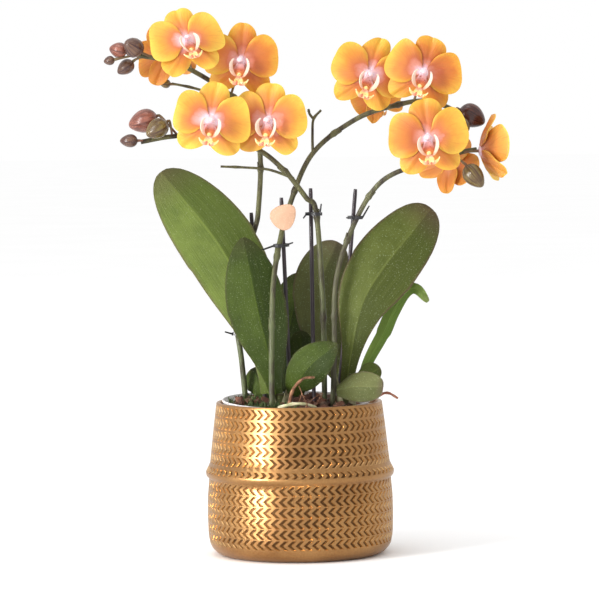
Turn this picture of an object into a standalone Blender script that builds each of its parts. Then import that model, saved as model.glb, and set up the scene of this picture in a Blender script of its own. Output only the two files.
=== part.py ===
"""Potted moth orchid: two small plants with four flower spikes, tied to stakes in a clear
grow pot that stands in a turned cover pot.

Frame: metres, +Z up, +X right, the origin at the centre of the cover pot's base.
Routes and places below are in millimetres and are scaled by MM.
"""
import math

import bmesh
import bpy
from mathutils import Euler, Matrix, Vector

MM = 0.001

# ---- driving dimensions, in millimetres -----------------------------------------------------
TOUCH = 0.3                # gap kept between pieces that touch
PRESS = 0.5                # gap kept round what is pushed into the bark

COVER_HEIGHT = 120.0
COVER_RIM_R = 65.0
COVER_SHOULDER_R = COVER_RIM_R + 5.0    # just above the bead
COVER_BEAD_R = COVER_RIM_R + 9.0
COVER_BEAD_Z = 65.0
COVER_BEAD_HEIGHT = 9.0
COVER_BELLY_R = COVER_BEAD_R - 1.0
COVER_FOOT_CORNER = 14.0
COVER_FOOT_R = COVER_BELLY_R - COVER_FOOT_CORNER - 1.0
COVER_WALL = 3.5
COVER_FLOOR = 4.0

GROW_LIFT = 2.3            # its low edge stands on the cover pot's floor
GROW_ABOVE_COVER = 1.3     # its rim stands this far above the cover pot's
GROW_RIM_GAP = 3.5         # round its rim, inside the cover pot
GROW_FOOT_GAP = 14.0
GROW_HEIGHT = COVER_HEIGHT - COVER_FLOOR - GROW_LIFT + GROW_ABOVE_COVER
GROW_RIM_R = COVER_RIM_R - COVER_WALL - GROW_RIM_GAP
GROW_FOOT_R = COVER_FOOT_R - GROW_FOOT_GAP
GROW_WALL = 1.0
GROW_LIP = 2.5
GROW_SIDES = 28            # flats round the grow pot and the bark that fits it
GROW_RIM_AT = (-2.5, 0.0)  # its rim leans to the left of the cover pot's middle
GROW_TILT = (2.2, 1.0)     # degrees about X and Y, so that its back left edge stands higher

BARK_BELOW_RIM = 4.5
BARK_BUMP = 1.2
BARK_TOP = COVER_FLOOR + GROW_LIFT + GROW_HEIGHT - BARK_BELOW_RIM

# The plant's routes are drawn for a bark top and a grow pot rim of these sizes. They rise with
# the bark's top, and below PLANT_FREE they spread with the grow pot's rim.
DRAWN_BARK_TOP = 116.8
DRAWN_RIM_R = 58.0
PLANT_LOW = 126.0
PLANT_FREE = 235.0

STAKE_R = 1.6
SPIKE_FOOT_R = 2.0
SPIKE_TIP_R = 1.1
SPIKE_STATIONS = 18
STALK_R = 0.9
FLOWER_STALK_RUN = 9.0     # straight end of a stalk behind its flower or bud
BUD_STALK_RUN = 4.0
CROWN_R = 6.5
CROWN_TOP = 125.0
CROWN_FOOT = 96.0
LEAF_THICK = 1.8
TEPAL_THICK = 1.1
TAG_THICK = 0.8
TAG_R = 9.8
TAG_POINT = 3.2            # how much further its point reaches
CLIP_WALL = 1.1
CLIP_HEIGHT = 2.5
CLIP_CLEAR = 1.6           # between a clip and the stems in it

FLOWER_HUB_R = 4.0
PETAL_LENGTH = 30.0
PETAL_WIDTH = 33.0
DORSAL_LENGTH = 29.0
DORSAL_WIDTH = 25.0
LATERAL_LENGTH = 30.0
LATERAL_WIDTH = 21.0

# ---- routes and places, in millimetres ------------------------------------------------------
# Flower spikes, from the foot in the bark to the tip.
SPIKES = {
    "flower_spike_1": [(-41, 22, 104), (-45, 22, 150), (-49, 22, 188), (-43, 15, 228),
                       (-33, 11.5, 256), (-30, 6, 272), (-28, -6, 312), (-34, -12, 345), (-58, -16, 366),
                       (-80, -24, 380), (-95, -30, 387), (-122, -30, 392)],
    "flower_spike_2": [(20, 4, 104), (20, 2, 160), (19, -5, 208), (15, -7, 269),
                       (8, -10, 279), (0, -13, 290), (-10, -15, 302), (-28, -16, 317), (-58, -18, 330),
                       (-95, -20, 329), (-120, -26, 325)],
    "flower_spike_3": [(-21, -29, 104), (-21, -31, 150), (-20, -32, 195), (-18, -28, 222),
                       (-13, -16, 248), (-7, -7, 270), (12, 0, 313), (46, -6, 340),
                       (78, -12, 351), (104, -14, 354), (127, -12, 345)],
    "flower_spike_4": [(26, -4, 104), (28, -12, 160), (30, -18, 216), (45, -15, 260),
                       (66, -24, 292), (98, -28, 306), (128, -24, 314), (140, -22, 316)],
}

# Bare side twigs: spike, route.
TWIGS = [
    ("flower_spike_1", [(-36, -13, 347), (-57, -8, 359), (-78, -12, 366), (-96, -12, 370)]),
    ("flower_spike_2", [(-2, -13, 295), (-21, -12, 302), (-40, -11, 304), (-59, -11, 305)]),
    ("flower_spike_3", [(13, 0, 314), (13, 1, 330), (14, 1, 341), (20, 1, 348)]),
]

# Open flowers: centre, then turn to the right, nod and roll in degrees, size, and the place
# on the spike where the stalk starts.
FLOWERS = [
    ("flower_spike_1", (-83, -48, 403), (8, 0, -12), 1.0, (-80, -24, 380)),
    ("flower_spike_1", (-42, -28, 387), (-4, 4, 4), 1.0, (-50, -14, 361)),
    ("flower_spike_2", (-65, -46, 341), (2, 2, 9), 1.04, (-70, -18, 330)),
    ("flower_spike_2", (-21, -34, 340), (-10, 0, 4), 1.04, (-28, -16, 317)),
    ("flower_spike_3", (57, -30, 375), (6, 4, 19), 1.0, (62, -9, 347)),
    ("flower_spike_3", (99, -42, 376), (-4, 4, 16), 1.0, (92, -13, 354)),
    ("flower_spike_4", (101, -56, 325), (-3, 0, -5), 1.06, (98, -28, 306)),
    ("flower_spike_4", (148, -24, 315), (96, -6, 0), 0.92, (128, -24, 314)),
    ("flower_spike_1", (-99, -12, 393), (168, 6, 23), 0.86, (-90, -28, 385)),
    ("flower_spike_3", (66, 14, 351), (196, 26, 4), 0.84, (70, -10, 349)),
    ("flower_spike_4", (119, -8, 306), (148, 20, -30), 0.84, (112, -26, 311)),
]

# Buds: node name or None for one that stays on its spike, spike, centre, the direction that
# its tip points, length, width, and where its stalk starts.
BUDS = [
    ("bud_1", "flower_spike_1", (-124, -41, 398), (-0.6, -0.6, 0.4), 16, 15, (-110, -30, 390)),
    ("bud_2", "flower_spike_1", (-131, -25, 383), (-0.8, 0, -0.6), 14, 11, (-116, -30, 391)),
    ("bud_3", "flower_spike_2", (-107, -31, 335), (-0.8, -0.3, -0.5), 18, 15, (-96, -20, 329)),
    ("bud_4", "flower_spike_2", (-118, -15, 341), (-1, 0, -0.3), 22, 18, (-92, -20, 330)),
    ("bud_5", "flower_spike_3", (137, -8, 342), (0.9, 0, -0.5), 21, 18, (126, -12, 346)),
    ("bud_6", "flower_spike_4", (137, -38, 296), (0.6, -0.3, -0.8), 20, 15, (121, -25, 312)),
]
# The smallest buds, fused with their spikes: spike, centre, tip direction, length, width, and
# where the stalk starts.
SMALL_BUDS = [
    ("flower_spike_1", (-136, -33, 396), (-1, 0, 0.2), 13, 12, (-120, -30, 392)),
    ("flower_spike_1", (-143, -36, 388), (-1, 0, -0.2), 8, 7, (-124, -31, 392)),
    ("flower_spike_1", (-101, -12, 370), (-1, 0, 0.1), 8, 7, (-90, -12, 369)),
    ("flower_spike_2", (-129, -27, 326), (-1, 0, 0), 13, 10, (-117, -25, 325)),
    ("flower_spike_3", (130, -24, 335), (0.5, -0.5, -0.7), 12, 10, (122, -12, 347)),
]

# Stakes: foot and top.
STAKES = [
    ((-22, 10, 40), (-36, 17, 268)),
    ((-4, -3, 40), (-12, -3, 280)),
    ((12, 1, 40), (11, -1, 287)),
    ((24, 16, 40), (46, -8, 286)),
]

# Clips: stake number or None, spike, height, and the reach of each prong from the ring's middle.
CLIPS = [
    (None, "flower_spike_1", 172, [(-10, -4, 2)]),
    (2, "flower_spike_3", 243, [(9, -2, 2), (-17, -4, -4)]),
    (3, "flower_spike_2", 267, [(-8, -5, -3), (6, -7, 8)]),
    (4, "flower_spike_4", 264, [(-7, -5, 0), (11, -3, 9)]),
]

# Leaves, from base to tip: route, width, width at the base, where the widest place is along
# the route, fold depth over width, and the direction that the underside faces.
LEAVES = {
    "left_tall_leaf": ([(-24, 3, 126), (-28, 4, 168), (-57, 2, 236), (-106, 0, 301)],
                       60, 12, 0.60, 0.10, (0, -1, 0)),
    "left_inner_leaf": ([(-18, -14, 127), (-24, -20, 160), (-32, -24, 195), (-42, -32, 250)],
                        46, 11, 0.52, 0.12, (0, -1, 0)),
    "left_low_leaf": ([(-22, 14, 124), (-29, 24, 131), (-38, 31, 143)],
                      22, 8, 0.55, 0.08, (0, -1, 0)),
    "front_leaf": ([(-5, -16, 126), (-2, -30, 136), (10, -40, 152), (30, -46, 168)],
                   30, 9, 0.50, 0.10, (0, -1, 0.2)),
    "left_back_leaf": ([(-12, 12, 127), (-10, 44, 160), (-4, 60, 190), (2, 72, 217)],
                       36, 9, 0.60, 0.10, (0, -1, 0)),
    "back_small_leaf": ([(0, 12, 124), (2, 20, 148), (2, 23, 174)],
                        22, 8, 0.55, 0.10, (0, -1, 0)),
    "back_leaf": ([(39, 10, 127), (29, 24, 150), (19, 35, 184), (19, 40, 214), (32, 42, 243)],
                  43, 9, 0.64, 0.10, (0, -1, 0)),
    "right_tall_leaf": ([(36, 0, 127), (41, -6, 157), (57, -11, 198), (81, -8, 239),
                         (105, 0, 277)], 55, 11, 0.56, 0.05, (0, -1, 0)),
    "right_strap_leaf": ([(46, 7, 125), (54, 10, 146), (69, 12, 170), (83, 8, 190),
                          (91, 3, 203), (102, -2, 196)], 12, 7, 0.45, 0.12, (0, -1, 0)),
    "right_low_leaf": ([(30, -15, 129), (45, -29, 133), (65, -38, 133)],
                       24, 9, 0.50, 0.08, (0, -1, 0.3)),
    "right_small_leaf": ([(48, 2, 128), (54, 3, 139), (64, 3, 145)],
                         16, 7, 0.55, 0.08, (0, -1, 0)),
}

TAG_CENTRE = (-11, -20, 265)

CROWNS = {"left_crown": (-15.5, -3), "right_crown": (37, -3)}

# Loose roots and a dry sheath: route and radius.
ROOTS = {
    "dry_sheath": ([(-8, -45, 119), (-5, -47, 132), (3, -48, 141), (12, -46, 142)], 1.5),
    "red_root": ([(57, -15, 121), (64, -18, 126), (70, -20, 127), (77, -22, 123)], 1.4),
    "pale_root": ([(-16, -50, 119), (-6, -53, 122), (4, -52, 122), (13, -46, 119)], 1.5),
}

# ---- colours: base colour, roughness, metallic ----------------------------------------------
FINISHES = {
    "gold": ((0.55, 0.36, 0.13), 0.32, 0.9),
    "clear_plastic": ((0.85, 0.82, 0.82), 0.25, 0.0),
    "bark": ((0.16, 0.07, 0.035), 0.9, 0.0),
    "leaf": ((0.09, 0.17, 0.04), 0.45, 0.0),
    "stem": ((0.14, 0.16, 0.08), 0.55, 0.0),
    "petal": ((0.90, 0.42, 0.07), 0.5, 0.0),
    "lip": ((0.95, 0.75, 0.45), 0.5, 0.0),
    "bud": ((0.20, 0.09, 0.07), 0.5, 0.0),
    "root": ((0.30, 0.12, 0.05), 0.8, 0.0),
    "stake": ((0.045, 0.025, 0.035), 0.5, 0.0),
    "clip": ((0.02, 0.015, 0.02), 0.4, 0.0),
    "tag": ((0.80, 0.50, 0.32), 0.7, 0.0),
}


def clear_scene():
    for old in list(bpy.data.objects):
        bpy.data.objects.remove(old, do_unlink=True)


def finish(name):
    """A Principled material of the named finish, made once."""
    found = bpy.data.materials.get(name)
    if found:
        return found
    colour, roughness, metallic = FINISHES[name]
    material = bpy.data.materials.new(name)
    material.use_nodes = True
    shader = material.node_tree.nodes["Principled BSDF"]
    shader.inputs["Base Color"].default_value = (*colour, 1.0)
    shader.inputs["Roughness"].default_value = roughness
    shader.inputs["Metallic"].default_value = metallic
    return material


def scaled(points):
    return [Vector(p) * MM for p in points]


def placed(point):
    """A point of the plant as drawn, moved with the bark's top and the grow pot's rim."""
    x, y, z = point
    low = min(1, max(0, (PLANT_FREE - z) / (PLANT_FREE - PLANT_LOW)))
    spread = 1 + (GROW_RIM_R / DRAWN_RIM_R - 1) * low
    return Vector((x * spread, y * spread, z + BARK_TOP - DRAWN_BARK_TOP))


# ---- curves and sections --------------------------------------------------------------------
def smooth_path(points, count):
    """count evenly spaced points along a smooth curve through the given points."""
    ends = [2 * points[0] - points[1]] + list(points) + [2 * points[-1] - points[-2]]
    dense = []
    steps = 12
    for i in range(1, len(ends) - 2):
        p0, p1, p2, p3 = ends[i - 1:i + 3]
        for k in range(steps):
            t = k / steps
            dense.append(0.5 * (2 * p1 + (p2 - p0) * t + (2 * p0 - 5 * p1 + 4 * p2 - p3) * t * t
                                + (3 * p1 - p0 - 3 * p2 + p3) * t ** 3))
    dense.append(points[-1].copy())
    run = [0.0]
    for a, b in zip(dense, dense[1:]):
        run.append(run[-1] + (b - a).length)
    out, j = [], 0
    for i in range(count):
        goal = run[-1] * i / (count - 1)
        while j < len(run) - 2 and run[j + 1] < goal:
            j += 1
        share = (goal - run[j]) / (run[j + 1] - run[j])
        out.append(dense[j].lerp(dense[j + 1], share))
    return out


def tangents(path):
    last = len(path) - 1
    return [(path[min(i + 1, last)] - path[max(i - 1, 0)]).normalized() for i in range(last + 1)]


def mesh_object(name, bm, finish_name, smooth=True):
    """A new object of the bmesh, with its faces turned outwards."""
    bmesh.ops.recalc_face_normals(bm, faces=bm.faces)
    mesh = bpy.data.meshes.new(name)
    bm.to_mesh(mesh)
    bm.free()
    if smooth:
        mesh.shade_smooth()
        mesh.set_sharp_from_angle(angle=math.radians(40))
    mesh.materials.append(finish(finish_name))
    obj = bpy.data.objects.new(name, mesh)
    bpy.context.scene.collection.objects.link(obj)
    return obj


def loft(name, rings, finish_name):
    """A closed body through rings of equal count, with flat ends."""
    bm = bmesh.new()
    loops = [[bm.verts.new(p) for p in ring] for ring in rings]
    sides = len(loops[0])
    for low, high in zip(loops, loops[1:]):
        for k in range(sides):
            bm.faces.new((low[k], low[(k + 1) % sides], high[(k + 1) % sides], high[k]))
    bm.faces.new(loops[0])
    bm.faces.new(loops[-1])
    return mesh_object(name, bm, finish_name)


def tube(name, points, radii, stations, sides, finish_name, grow=0.0):
    """A tube along a smooth route, whose radius runs evenly from radii[0] to radii[1].

    grow is added all round and at both ends, for a cutter that leaves a gap.
    """
    path = smooth_path(scaled(points), stations)
    ways = tangents(path)
    path[0] -= ways[0] * grow * MM
    path[-1] += ways[-1] * grow * MM
    side = ways[0].orthogonal().normalized()
    rings = []
    for i, (point, along) in enumerate(zip(path, ways)):
        side = (side - along * side.dot(along)).normalized()
        other = along.cross(side)
        share = i / (stations - 1)
        radius = (radii[0] + (radii[1] - radii[0]) * share + grow) * MM
        rings.append([point + radius * (side * math.cos(a) + other * math.sin(a))
                      for a in (math.tau * k / sides for k in range(sides))])
    return loft(name, rings, finish_name)


def evaluated(obj, name):
    """A plain mesh of the object as its modifiers leave it."""
    depsgraph = bpy.context.evaluated_depsgraph_get()
    mesh = bpy.data.meshes.new_from_object(obj.evaluated_get(depsgraph))
    mesh.name = name
    return mesh


def fuse(pieces):
    """The first piece, with the others joined to it by Boolean unions."""
    body = pieces[0]
    for piece in pieces[1:]:
        union = body.modifiers.new("join", "BOOLEAN")
        union.operation = "UNION"
        union.solver = "EXACT"
        union.object = piece
    body.data = evaluated(body, body.name)
    body.modifiers.clear()
    for piece in pieces[1:]:
        bpy.data.objects.remove(piece, do_unlink=True)
    return body


def turned(name, profile, sides, finish_name):
    """A body turned about Z from a profile of (radius, height) that starts and ends on it."""
    bm = bmesh.new()
    rows = []
    for radius, height in profile:
        if radius == 0:
            rows.append([bm.verts.new((0, 0, height * MM))])
        else:
            rows.append([bm.verts.new((radius * MM * math.cos(a), radius * MM * math.sin(a),
                                       height * MM))
                         for a in (math.tau * k / sides for k in range(sides))])
    for low, high in zip(rows, rows[1:]):
        for k in range(sides):
            n = (k + 1) % sides
            corners = [low[k % len(low)], low[n % len(low)], high[n % len(high)],
                       high[k % len(high)]]
            bm.faces.new(list(dict.fromkeys(corners)))
    return mesh_object(name, bm, finish_name)


def sheet(name, rows, thickness, finish_name):
    """A thin body round a middle surface, given as rows of points."""
    bm = bmesh.new()
    grid = [[bm.verts.new(p) for p in row] for row in rows]
    for low, high in zip(grid, grid[1:]):
        for k in range(len(low) - 1):
            bm.faces.new((low[k], low[k + 1], high[k + 1], high[k]))
    obj = mesh_object(name, bm, finish_name)
    thicken(obj, thickness)
    return obj


def thicken(obj, thickness):
    solidify = obj.modifiers.new("thickness", "SOLIDIFY")
    solidify.thickness = thickness * MM
    solidify.offset = 0.0


# ---- pots and bark --------------------------------------------------------------------------
def cover_outline():
    """The outer side of the cover pot from the middle of its base to its rim."""
    corner = [(COVER_FOOT_R + COVER_FOOT_CORNER * math.sin(a),
               COVER_FOOT_CORNER * (1 - math.cos(a)))
              for a in (math.radians(d) for d in (0, 30, 60, 90))]
    low_bead = COVER_BEAD_Z - COVER_BEAD_HEIGHT / 2
    high_bead = COVER_BEAD_Z + COVER_BEAD_HEIGHT / 2
    return ([(0, 0)] + corner
            + [(COVER_BELLY_R, (COVER_FOOT_CORNER + low_bead) / 2),
               (COVER_BEAD_R - 2.5, low_bead), (COVER_BEAD_R, COVER_BEAD_Z - 2),
               (COVER_BEAD_R, COVER_BEAD_Z + 2), (COVER_BEAD_R - 2.5, high_bead),
               (COVER_SHOULDER_R, high_bead + 5),
               ((COVER_SHOULDER_R + COVER_RIM_R) / 2 + 0.7, (high_bead + COVER_HEIGHT) / 2 + 4),
               (COVER_RIM_R, COVER_HEIGHT - 1), (COVER_RIM_R - 1, COVER_HEIGHT)])


def cover_pot():
    outer = cover_outline()
    inner = [(COVER_RIM_R - COVER_WALL + 0.5, COVER_HEIGHT),
             (COVER_RIM_R - COVER_WALL, COVER_HEIGHT - 1),
             (COVER_SHOULDER_R - COVER_WALL, COVER_BEAD_Z + COVER_BEAD_HEIGHT),
             (COVER_BELLY_R - COVER_WALL, COVER_BEAD_Z - COVER_BEAD_HEIGHT),
             (COVER_BELLY_R - COVER_WALL, COVER_FOOT_CORNER + COVER_FLOOR),
             (COVER_FOOT_R, COVER_FLOOR), (0, COVER_FLOOR)]
    turned("cover_pot", outer + inner, 32, "gold")


def pot_seat():
    """The empty that tilts the grow pot and its bark together."""
    seat = bpy.data.objects.new("grow_pot_seat", None)
    bpy.context.scene.collection.objects.link(seat)
    about_x, about_y = (math.radians(d) for d in GROW_TILT)
    seat.location = Vector((GROW_RIM_AT[0] - GROW_HEIGHT * math.sin(about_y),
                            GROW_RIM_AT[1] + GROW_HEIGHT * math.sin(about_x),
                            COVER_FLOOR + GROW_LIFT)) * MM
    seat.rotation_euler = Euler((about_x, about_y, 0))
    return seat


def grow_radius(height):
    """The grow pot's outer radius at a height above its base."""
    wall_top = GROW_RIM_R - GROW_LIP
    return GROW_FOOT_R + (wall_top - GROW_FOOT_R) * height / GROW_HEIGHT


def grow_pot(seat):
    lip_low = GROW_HEIGHT - 5
    outer = [(0, 0), (GROW_FOOT_R, 0), (grow_radius(lip_low), lip_low),
             (GROW_RIM_R, lip_low + 0.5), (GROW_RIM_R, GROW_HEIGHT)]
    inner = [(GROW_RIM_R - GROW_WALL, GROW_HEIGHT),
             (grow_radius(lip_low) - GROW_WALL, lip_low + 1),
             (GROW_FOOT_R - GROW_WALL, GROW_WALL), (0, GROW_WALL)]
    pot = turned("grow_pot", outer + inner, GROW_SIDES, "clear_plastic")
    pot.parent = seat


def bark_mix(seat, cutters):
    """The bark that fills the grow pot, bored for everything that stands in it."""
    top = GROW_HEIGHT - BARK_BELOW_RIM
    low = GROW_WALL + TOUCH
    fit = GROW_WALL + TOUCH
    sides = GROW_SIDES
    rings = [(0.35, 0.6), (0.7, -0.4), (0.97, 0.2)]
    bm = bmesh.new()
    edge = grow_radius(top) - fit
    rows = [[bm.verts.new((0, 0, low * MM))]]
    for radius, height in ((grow_radius(low) - fit, low), (grow_radius(top - 3) - fit, top - 3)):
        rows.append(ring_verts(bm, radius, sides, lambda a, z=height: z))
    for share, phase in reversed(rings):
        def bump(a, share=share, phase=phase):
            return top + BARK_BUMP * math.sin(5 * a + 9 * phase) * math.cos(3 * a - 7 * share)
        rows.append(ring_verts(bm, edge * share, sides, bump))
    rows.append([bm.verts.new((0, 0, (top + BARK_BUMP) * MM))])
    for lower, upper in zip(rows, rows[1:]):
        for k in range(sides):
            n = (k + 1) % sides
            corners = [lower[k % len(lower)], lower[n % len(lower)], upper[n % len(upper)],
                       upper[k % len(upper)]]
            bm.faces.new(list(dict.fromkeys(corners)))
    bark = mesh_object("bark_mix", bm, "bark", smooth=False)
    bark.parent = seat
    holes = bark.modifiers.new("holes", "BOOLEAN")
    holes.operation = "DIFFERENCE"
    holes.solver = "EXACT"
    holes.operand_type = "COLLECTION"
    holes.collection = cutters


def ring_verts(bm, radius, sides, height):
    return [bm.verts.new((radius * MM * math.cos(a), radius * MM * math.sin(a), height(a) * MM))
            for a in (math.tau * k / sides for k in range(sides))]


def cutter(obj, cutters):
    """Makes the object one that only cuts the bark."""
    for collection in list(obj.users_collection):
        collection.objects.unlink(obj)
    cutters.objects.link(obj)
    obj.name = "cut_" + obj.name
    obj.hide_render = True
    obj.display_type = "WIRE"


# ---- stakes, clips and tag ------------------------------------------------------------------
def stakes(cutters):
    for number, (foot, top) in enumerate(STAKES, 1):
        name = f"stake_{number}"
        for grow in (0.0, PRESS):
            stake = tube(name, [placed(foot), placed(top)], (STAKE_R, STAKE_R), 2, 8, "stake", grow)
            if grow:
                cutter(stake, cutters)


def band(name, half_length, radius, wall, height, finish_name):
    """An upright band with straight sides and round ends, about the Z axis."""
    bm = bmesh.new()
    loops = []
    for z in (-height / 2, height / 2):
        for grown in (0, wall):
            loop = []
            for centre, start in ((half_length, -90), (-half_length, 90)):
                for step in range(5):
                    a = math.radians(start + 45 * step)
                    loop.append(bm.verts.new(((centre + (radius + grown) * math.cos(a)) * MM,
                                              (radius + grown) * math.sin(a) * MM, z * MM)))
            loops.append(loop)
    low_in, low_out, high_in, high_out = loops
    count = len(low_in)
    for k in range(count):
        n = (k + 1) % count
        for a, b in ((low_in, low_out), (low_out, high_out), (high_out, high_in),
                     (high_in, low_in)):
            bm.faces.new((a[k], a[n], b[n], b[k]))
    return mesh_object(name, bm, finish_name)


def at_height(points, z):
    """Where a smooth route first reaches the height z."""
    path = smooth_path([Vector(p) for p in points], 60)
    for low, high in zip(path, path[1:]):
        if low.z <= z <= high.z:
            return low.lerp(high, (z - low.z) / (high.z - low.z))
    return path[-1]


def clips():
    """Flat rings that tie the spikes to the stakes, each with its prongs."""
    for number, (stake, spike, z, prongs) in enumerate(CLIPS, 1):
        stem = placed(at_height(SPIKES[spike], z))
        other = stem + Vector((0.01, 0, 0))
        if stake:
            other = placed(at_height(STAKES[stake - 1], z))
        middle, span = (stem + other) / 2, other - stem
        turn = math.atan2(span.y, span.x)
        ring = band(f"clip_{number}", span.length / 2, SPIKE_FOOT_R + CLIP_CLEAR, CLIP_WALL,
                    CLIP_HEIGHT, "clip")
        ring.data.transform(Matrix.Translation(middle * MM) @ Matrix.Rotation(turn, 4, "Z"))
        pieces = [ring]
        for reach in prongs:
            flat = Vector((reach[0], reach[1], 0)).normalized()
            end = span / 2 if span.dot(flat) > 0 else -span / 2
            root = middle + end + flat * (SPIKE_FOOT_R + CLIP_CLEAR + CLIP_WALL / 2)
            pieces.append(tube("prong", [root, middle + Vector(reach)], (0.8, 0.6), 2, 6, "clip"))
        fuse(pieces)


def plant_tag():
    """A flat egg-shaped tag in front of the second stake, its point up and to the right."""
    centre = placed(TAG_CENTRE)
    bm = bmesh.new()
    points = []
    for k in range(20):
        a = math.tau * k / 20
        toward_point = (1 + math.cos(a - math.radians(45))) / 2
        reach = TAG_R + TAG_POINT * toward_point ** 5
        points.append((reach * math.cos(a), 0, reach * math.sin(a)))
    face = bm.faces.new([bm.verts.new((centre + Vector(p)) * MM) for p in points])
    grown = bmesh.ops.extrude_face_region(bm, geom=[face])
    moved = [v for v in grown["geom"] if isinstance(v, bmesh.types.BMVert)]
    bmesh.ops.translate(bm, verts=moved, vec=(0, TAG_THICK * MM, 0))
    mesh_object("plant_tag", bm, "tag", smooth=False)


# ---- green parts ----------------------------------------------------------------------------
def crowns(cutters):
    """The short leafy stems that the leaves, spikes and roots grow from."""
    for name, (x, y) in CROWNS.items():
        for grow in (0.0, PRESS):
            top = placed((x, y, CROWN_TOP))
            low = top.z - CROWN_TOP + CROWN_FOOT - grow
            heights = [(0.55, low), (0.95, low + 12), (1.0, top.z - 4), (0.8, top.z)]
            rings = [[Vector((top.x + (CROWN_R * share + grow) * math.cos(a),
                              top.y + (CROWN_R * share + grow) * math.sin(a), z)) * MM
                      for a in (math.tau * k / 10 for k in range(10))]
                     for share, z in heights]
            crown = loft(name, rings, "stem")
            if grow:
                cutter(crown, cutters)


def leaf_half_width(t, width, base, widest):
    """Half a leaf's width at the share t of its length."""
    if t < widest:
        swell = math.sin(math.pi / 2 * t / widest) ** 1.5
        return (base + (width - base) * swell) / 2
    past = (t - widest) / (1 - widest) * 0.985
    return width / 2 * math.sqrt(1 - past * past)


def leaves():
    stations = 9
    across = (-1.0, -0.5, 0.0, 0.5, 1.0)
    for name, (route, width, base, widest, fold, underside) in LEAVES.items():
        path = smooth_path(scaled(placed(p) for p in route), stations)
        facing = Vector(underside).normalized()
        rows = []
        for i, (point, along) in enumerate(zip(path, tangents(path))):
            half = leaf_half_width(i / (stations - 1), width, base, widest) * MM
            side = along.cross(facing).normalized()
            out = side.cross(along).normalized()
            if out.dot(facing) < 0:
                out = -out
            rows.append([point + side * (half * s) - out * (2 * fold * half * abs(s))
                         for s in across])
        sheet(name, rows, LEAF_THICK, "leaf")


def egg(name, centre, tip, length, width, sides, rings, finish_name):
    """A bud: an egg whose narrow end points along tip."""
    along = Vector(tip).normalized()
    side = along.orthogonal().normalized()
    other = along.cross(side)
    middle = placed(centre) * MM
    loops = []
    for i in range(rings + 1):
        a = math.pi * (0.08 + 0.84 * i / rings)
        radius = width / 2 * math.sin(a) * (1 - 0.12 * math.cos(a - math.pi)) * MM
        level = middle - along * (length / 2 * math.cos(a) * MM)
        loops.append([level + radius * (side * math.cos(b) + other * math.sin(b))
                      for b in (math.tau * k / sides for k in range(sides))])
    return loft(name, loops, finish_name)


def flower_matrix(centre, turns):
    """Places a flower that faces -Y: turned to the right, nodding and rolled, in degrees."""
    turn, nod, roll = (math.radians(d) for d in turns)
    spin = (Matrix.Rotation(turn, 4, "Z") @ Matrix.Rotation(nod, 4, "X")
            @ Matrix.Rotation(roll, 4, "Y"))
    return Matrix.Translation(placed(centre) * MM) @ spin


def stalk(root, end, leave, run):
    """A stalk from a spike to the back of a flower or bud, that ends with a run along leave."""
    near = end - leave.normalized() * run
    return tube("stalk", [placed(root), near, end], (STALK_R, STALK_R * 1.3), 5, 6, "stem")


def spikes(cutters):
    """Each spike: the main stem, its bare twigs, its stalks and its smallest buds."""
    for name, drawn in SPIKES.items():
        route = [placed(p) for p in drawn]
        body = tube(name, route, (SPIKE_FOOT_R, SPIKE_TIP_R), SPIKE_STATIONS, 6, "stem")
        pieces = [body]
        for owner, points in TWIGS:
            if owner == name:
                twig = [placed(p) for p in points]
                pieces.append(tube("twig", twig, (SPIKE_TIP_R, STALK_R), 5, 6, "stem"))
        for owner, centre, turns, size, root in FLOWERS:
            if owner == name:
                place = flower_matrix(centre, turns)
                behind = place.to_3x3() @ Vector((0, 1, 0))
                end = placed(centre) + behind * (size * (TEPAL_THICK / 2 + 0.6) + TOUCH)
                pieces.append(stalk(root, end, -behind, FLOWER_STALK_RUN))
        for bud, owner, centre, tip, length, width, root in BUDS:
            if owner == name:
                along = Vector(tip).normalized()
                end = placed(centre) - along * (0.97 * length / 2 + TOUCH + 0.15)
                pieces.append(stalk(root, end, along, BUD_STALK_RUN))
        for owner, centre, tip, length, width, root in SMALL_BUDS:
            if owner == name:
                along = Vector(tip).normalized()
                ends = [placed(root), placed(centre) - along * (0.3 * length)]
                pieces.append(tube("stalk", ends, (STALK_R, STALK_R), 2, 6, "stem"))
                pieces.append(egg("small_bud", centre, tip, length, width, 8, 4, "bud"))
        fuse(pieces)
        cutter(tube(name, route, (SPIKE_FOOT_R, SPIKE_TIP_R), SPIKE_STATIONS, 6, "stem", PRESS),
               cutters)


def roots():
    for name, (route, radius) in ROOTS.items():
        tube(name, [placed(p) for p in route], (radius, radius * 0.7), 7, 6, "root")


# ---- flowers --------------------------------------------------------------------------------
# Each lobe of an open flower: its direction in degrees, half the angle of its foot on the
# hub, length, width, points across, how far it lies in front, and how far its end curls back.
LOBES = [
    (11, 35, PETAL_LENGTH, PETAL_WIDTH, 4, 2.2, 4.0),
    (90, 26, DORSAL_LENGTH, DORSAL_WIDTH, 3, -1.0, 2.5),
    (169, 35, PETAL_LENGTH, PETAL_WIDTH, 4, 2.2, 4.0),
    (228, 24, LATERAL_LENGTH, LATERAL_WIDTH, 3, -1.6, 2.5),
    (312, 24, LATERAL_LENGTH, LATERAL_WIDTH, 3, -1.6, 2.5),
]
LOBE_STEPS = (0.22, 0.5, 0.78, 1.0)


def lobe_half_width(t, width, foot):
    """Half a tepal's width: a narrow foot, then broad and round."""
    if t < 0.55:
        return foot + (width / 2 - foot) * math.sin(math.pi / 2 * t / 0.55)
    past = (t - 0.55) / 0.45 * 0.9
    return width / 2 * math.sqrt(1 - past * past)


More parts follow.
